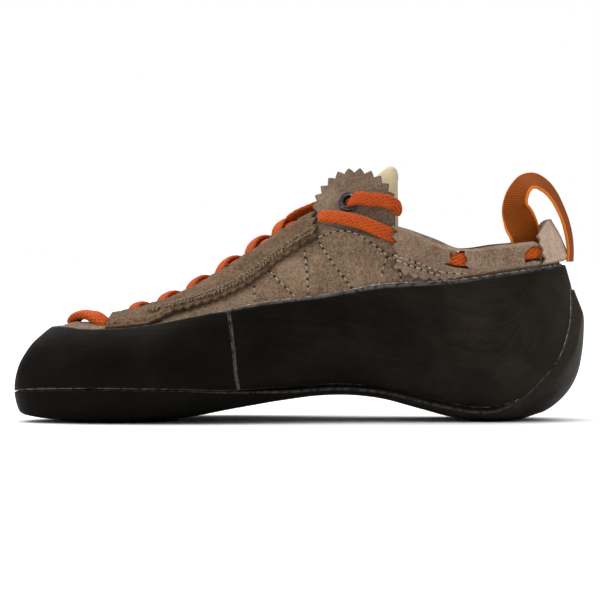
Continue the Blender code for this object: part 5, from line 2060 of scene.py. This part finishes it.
def sew(name, lines, shape, pitch, seed, material, turn=0.12, size=0.10, slant=0.0):
    """Shapes along lines, each line an array of points and one of outward directions."""
    verts, edges, outward = [], [], []
    for points, out in lines:
        start = len(verts)
        verts += [tuple(p) for p in points]
        outward += [tuple(o) for o in out]
        edges += [(start + n, start + n + 1) for n in range(len(points) - 1)]
    mesh = bpy.data.meshes.new(name)
    mesh.from_pydata(verts, edges, [])
    attribute = mesh.attributes.new("outward", "FLOAT_VECTOR", "POINT")
    attribute.data.foreach_set("vector", np.array(outward, dtype=np.float32).ravel())
    thing = add_object(name, mesh)
    modifier = thing.modifiers.new("sew", "NODES")
    modifier.node_group = SEW
    for key, value in (("Shape", shape), ("Pitch", pitch), ("Size Variation", size),
                       ("Turn Variation", turn), ("Slant", slant), ("Seed", seed),
                       ("Material", material)):
        modifier[INPUT_IDS[key]] = value
    bake(thing)
    return thing


# %% Lines on the leather
def side_line(side, pixels, offset, pitch=0.5 * MM):
    """A line drawn on the photograph, laid on the last's surface at an offset."""
    flat = np.array([(pixel_x(x), 0.0, pixel_z(y)) for x, y in pixels])
    drawn = path(flat, pitch) if len(pixels) > 2 else None
    if drawn is None:
        count = max(int(np.linalg.norm(flat[1] - flat[0]) / pitch), 2)
        drawn = flat[0] + (flat[1] - flat[0]) * np.linspace(0, 1, count)[:, None]
    turns, phis = [], []
    for x, _, z in drawn:
        turn = float(side_turn(side, np.clip((HEEL_BACK - x) / LAST_LENGTH, 0.001, 0.999)))
        for _ in range(4):
            points = place(np.array([turn])[:, None], PHI_SCAN[None, :], offset)
            phi = first_crossing(points[..., 2] - z)[0]
            here = place(np.array([turn]), np.array([phi]), offset)[0]
            slope = place(np.array([turn + 1e-3]), np.array([phi]), offset)[0] - here
            turn = float(turn + (x - here[0]) / slope[0] * 1e-3)
        turns.append(turn)
        phis.append(phi)
    return np.array(turns), np.array(phis)


def on_surface(turns, phis, offset):
    return place(turns, phis, offset), last_normal(turns, phis)


# Seams of the side panel, in pixels of the photograph.
PANEL_SEAMS = (
    ((255, 286), (255.5, 300)),
    ((270, 271), (280, 281), (291, 292)),
    ((304.5, 251), (307, 272), (308, 293)),
    ((319.5, 243), (328.5, 257), (338, 270), (351, 287)),
    ((385.5, 257), (382, 270), (377, 286)),
    ((398.5, 270), (400.5, 284)),
    ((317, 238), (327, 234), (339, 231), (354, 233), (366, 240), (378, 248), (387, 256)),
)
PANEL_PITCH = 3.0 * MM
THREAD_LIFT = 0.10 * MM


def make_panel_stitches(side):
    surface = UPPER_OUTSIDE + THREAD_LIFT
    lines = []
    for pixels in PANEL_SEAMS:
        turns, phis = side_line(side, pixels, UPPER_OUTSIDE)
        lines.append(on_surface(turns, phis, surface))
    thread = sew("panel_thread_" + side, lines, DASH, PANEL_PITCH, 21, THREAD, turn=0.08)
    pits = sew("panel_holes_" + side, lines, HOLE_SHAPE, PANEL_PITCH, 22, PINHOLE_SHADE,
               turn=3.0, size=0.25)
    dress(thread, "suede")
    dress(pits, "suede")


def row_above(side, start, end, lower, offset, lift):
    """A row that follows a drawn edge at a distance from it."""
    ends = side_turn(side, [start, end])
    turns = columns(ends.min(), ends.max(), 0.5 * MM)
    phi = edge(turns, phi_on_line, lower, offset)
    phi = phi + lift / metres_of(turns, phi, offset)
    return turns, phi


STAY_ROW_END = 0.765
STAY_LOOP_PITCH = 1.7 * MM
STAY_LOOP_LIFT = 0.42 * MM
# Each row's distance above the teeth and the slant of its loops.
STAY_ROWS = ((2.6 * MM, 0.75), (4.4 * MM, -0.75))


def make_stay_stitches(side):
    """Two slanted fuzzy rows above the teeth, as an overlock leaves them."""
    for number, (lift, slant) in enumerate(STAY_ROWS):
        turns, phi = row_above(side, STAY_START + 0.006, STAY_ROW_END, STAY_LOWER,
                               STAY_INSIDE, lift)
        line = on_surface(turns, phi, STAY_OUTSIDE + STAY_LOOP_LIFT)
        row = sew(f"stay_loops_{number + 1}_{side}", [line], FUZZY, STAY_LOOP_PITCH,
                  31 + number, STAY_THREAD, turn=0.6, size=0.35, slant=slant)
        dress(row, "suede_stay")


BAND_PITCH = 2.5 * MM
# Rows on the collar band's flap, in pixels of the photograph.
BAND_ROWS = (
    ((392, 254.5), (403, 258.5), (418, 263.5), (436, 270.2)),
    ((395, 259.5), (407, 264.5), (420, 269.0), (433, 273.2)),
    ((438, 270.8), (448, 272.4), (460, 273.0)),
)


def make_band_stitches(side):
    lines = []
    level = tunnel(np.linspace(*np.sort(side_turn(side, [BAND_START, BAND_END])), 5))
    for pixels in BAND_ROWS:
        turns, phis = side_line(side, pixels, STAY_INSIDE + BAND_WALL)
        out = level(turns, phis) + BAND_WALL / 2 + THREAD_LIFT
        lines.append((place(turns, phis, out), last_normal(turns, phis)))
    thread = sew("band_thread_" + side, lines, LONG_DASH, BAND_PITCH, 41, THREAD, turn=0.08)
    pits = sew("band_holes_" + side, lines, HOLE_SHAPE, BAND_PITCH, 42, PINHOLE_SHADE, turn=3.0,
               size=0.25)
    dress(thread, "suede_band")
    dress(pits, "suede_band")


DASH = make_thread_shape("dash", THREAD, 1.5 * MM, 0.50 * MM, 0.20 * MM, ahead=1.5 * MM)
LONG_DASH = make_thread_shape("long_dash", THREAD, 1.8 * MM, 0.62 * MM, 0.28 * MM,
                              ahead=1.25 * MM)
FUZZY = make_thread_shape("fuzzy", STAY_THREAD, 2.2 * MM, 0.95 * MM, 0.40 * MM, twist=0.9)
HOLE_SHAPE = make_hole_shape("hole", PINHOLE_SHADE, 0.50 * MM)
for side in SIDES:
    make_panel_stitches(side)
    make_stay_stitches(side)
    make_band_stitches(side)

# %% [markdown]
# ## Glue
# Cement squeezes out along the rubber's edges: a thin pale line round the outsole, and a
# rough whitish one along the rand's top, thick under the collar.

# %% Glue lines
def bead(name, points, out, radius, seed, wave=3.0 * MM, flat=0.6):
    """Uneven line of glue: its thickness follows noise along it."""
    both = path(np.concatenate([points, out], axis=1), 0.4 * MM)
    line, facing = both[:, :3], unit(both[:, 3:])
    wide, up = sides_of(line, facing)
    size = 0.6 + 0.35 * noise(line, wave, seed) + 0.2 * noise(line, wave / 3, seed + 1)
    size = np.clip(size, 0.12, 1.8)
    radii = radius(line) if callable(radius) else radius
    sides = 8
    angle = 2 * np.pi * np.arange(sides) / sides
    reach = (size * radii)[:, None]
    verts = (line[:, None] + wide[:, None] * (reach * np.cos(angle))[..., None]
             + up[:, None] * (reach * flat * np.sin(angle))[..., None])
    thing = build(name, verts.reshape(-1, 3), ring_faces(len(line), sides),
                  materials=(GLUE,))
    face_outward(thing.data, fill=True)
    return dress(thing, "rand_rubber")


TOP_LIFT = 0.35 * MM
SOLE_JOINT_DEPTH = 0.10 * MM
TOE_JOINT_DEPTH = 0.5 * MM


def make_glue():
    turns = columns(-0.5, 1.5, 2 * MM)
    top = edge(turns, phi_on_line, RAND_TOP, RAND_OUTSIDE)
    base = STAY_INSIDE * 0.5 + UPPER_OUTSIDE * 0.5

    def thick(line):
        heel = np.clip((line[:, 0] + 0.075) / 0.05, 0, 1)
        return (0.20 + 0.50 * heel) * MM

    bead("glue_rand_top", place(turns, top + 0.002, base + TOP_LIFT),
         last_normal(turns, top), thick, 81)
    joint = edge(turns, sole_line_phi, RAND_INSIDE, GAP)

    def thin(line):
        heel = np.clip((line[:, 0] + 0.02) / 0.05, 0, 1)
        return (0.03 + 0.22 * heel) * MM

    sunk = TOE_JOINT_DEPTH * np.clip((edge_along(turns) - 0.55) / 0.1, 0, 1)
    bead("glue_sole", place(turns, joint, RAND_OUTSIDE - SOLE_JOINT_DEPTH - sunk),
         last_normal(turns, joint), thin, 83)


make_glue()

# %% [markdown]
# ## Floor, light and finish
# A white table and white walls all round. A very wide sun lights the whole floor evenly,
# with soft lamps above and to the left, as in a packshot.

# %% Floor
def make_floor():
    mesh = bpy.data.meshes.new("floor")
    size = 8.0
    mesh.from_pydata([(-size, -size, 0), (size, -size, 0), (size, size, 0), (-size, size, 0)],
                     [], [(0, 1, 2, 3)])
    floor = add_object("floor", mesh)
    g = Graph("floor", roughness=0.9, Specular_IOR_Level=0.1,
              Base_Color=(0.93, 0.925, 0.92, 1.0))
    mesh.materials.append(g.material)
    return floor


# %% Light
WORLD_LOW = 0.35
WORLD_HIGH = 0.9
SKY_LIGHT = 2.2
SKY_SPREAD = 80
SHOE_MIDDLE = (-0.08, 0.0, 0.04)


def aim(thing, direction):
    thing.rotation_mode = "QUATERNION"
    thing.rotation_quaternion = Vector(direction).to_track_quat("-Z", "Y")


def make_lamp(name, position, target, size, power):
    data = bpy.data.lights.new(name, "AREA")
    data.shape = "RECTANGLE"
    data.size, data.size_y = size, size
    data.energy = power
    lamp = add_object(name, data)
    lamp.location = position
    aim(lamp, Vector(target) - Vector(position))


def make_sky(direction, strength, spread):
    """Very wide soft lamp that lights the whole floor evenly."""
    data = bpy.data.lights.new("sky", "SUN")
    data.energy = strength
    data.angle = math.radians(spread)
    aim(add_object("sky", data), direction)


def make_world():
    """White to the eye, but brighter above than in front, as under a softbox."""
    world = bpy.data.worlds.new("white")
    world.use_nodes = True
    nodes, links = world.node_tree.nodes, world.node_tree.links
    back = nodes["Background"]
    position = nodes.new("ShaderNodeTexCoord")
    split = nodes.new("ShaderNodeSeparateXYZ")
    height = nodes.new("ShaderNodeMapRange")
    rays = nodes.new("ShaderNodeLightPath")
    shown = nodes.new("ShaderNodeMath")
    shown.operation = "MAXIMUM"
    links.new(position.outputs["Generated"], split.inputs[0])
    links.new(split.outputs["Z"], height.inputs["Value"])
    height.inputs["From Min"].default_value = 0.05
    height.inputs["From Max"].default_value = 0.75
    height.inputs["To Min"].default_value = WORLD_LOW
    height.inputs["To Max"].default_value = WORLD_HIGH
    links.new(height.outputs[0], shown.inputs[0])
    links.new(rays.outputs["Is Camera Ray"], shown.inputs[1])
    links.new(shown.outputs[0], back.inputs["Strength"])
    back.inputs["Color"].default_value = (1.0, 1.0, 1.0, 1.0)
    bpy.context.scene.world = world


make_floor()
make_world()
make_lamp("overhead", (-0.30, 0.10, 1.1), SHOE_MIDDLE, 0.9, 5.0)
make_lamp("left", (-1.1, -0.45, 0.55), SHOE_MIDDLE, 0.6, 2.2)
make_sky((0.10, -0.45, -1.0), SKY_LIGHT, SKY_SPREAD)
scene = bpy.context.scene
scene.view_settings.view_transform = "Standard"
scene.view_settings.look = "None"
scene.view_settings.exposure = 0.0
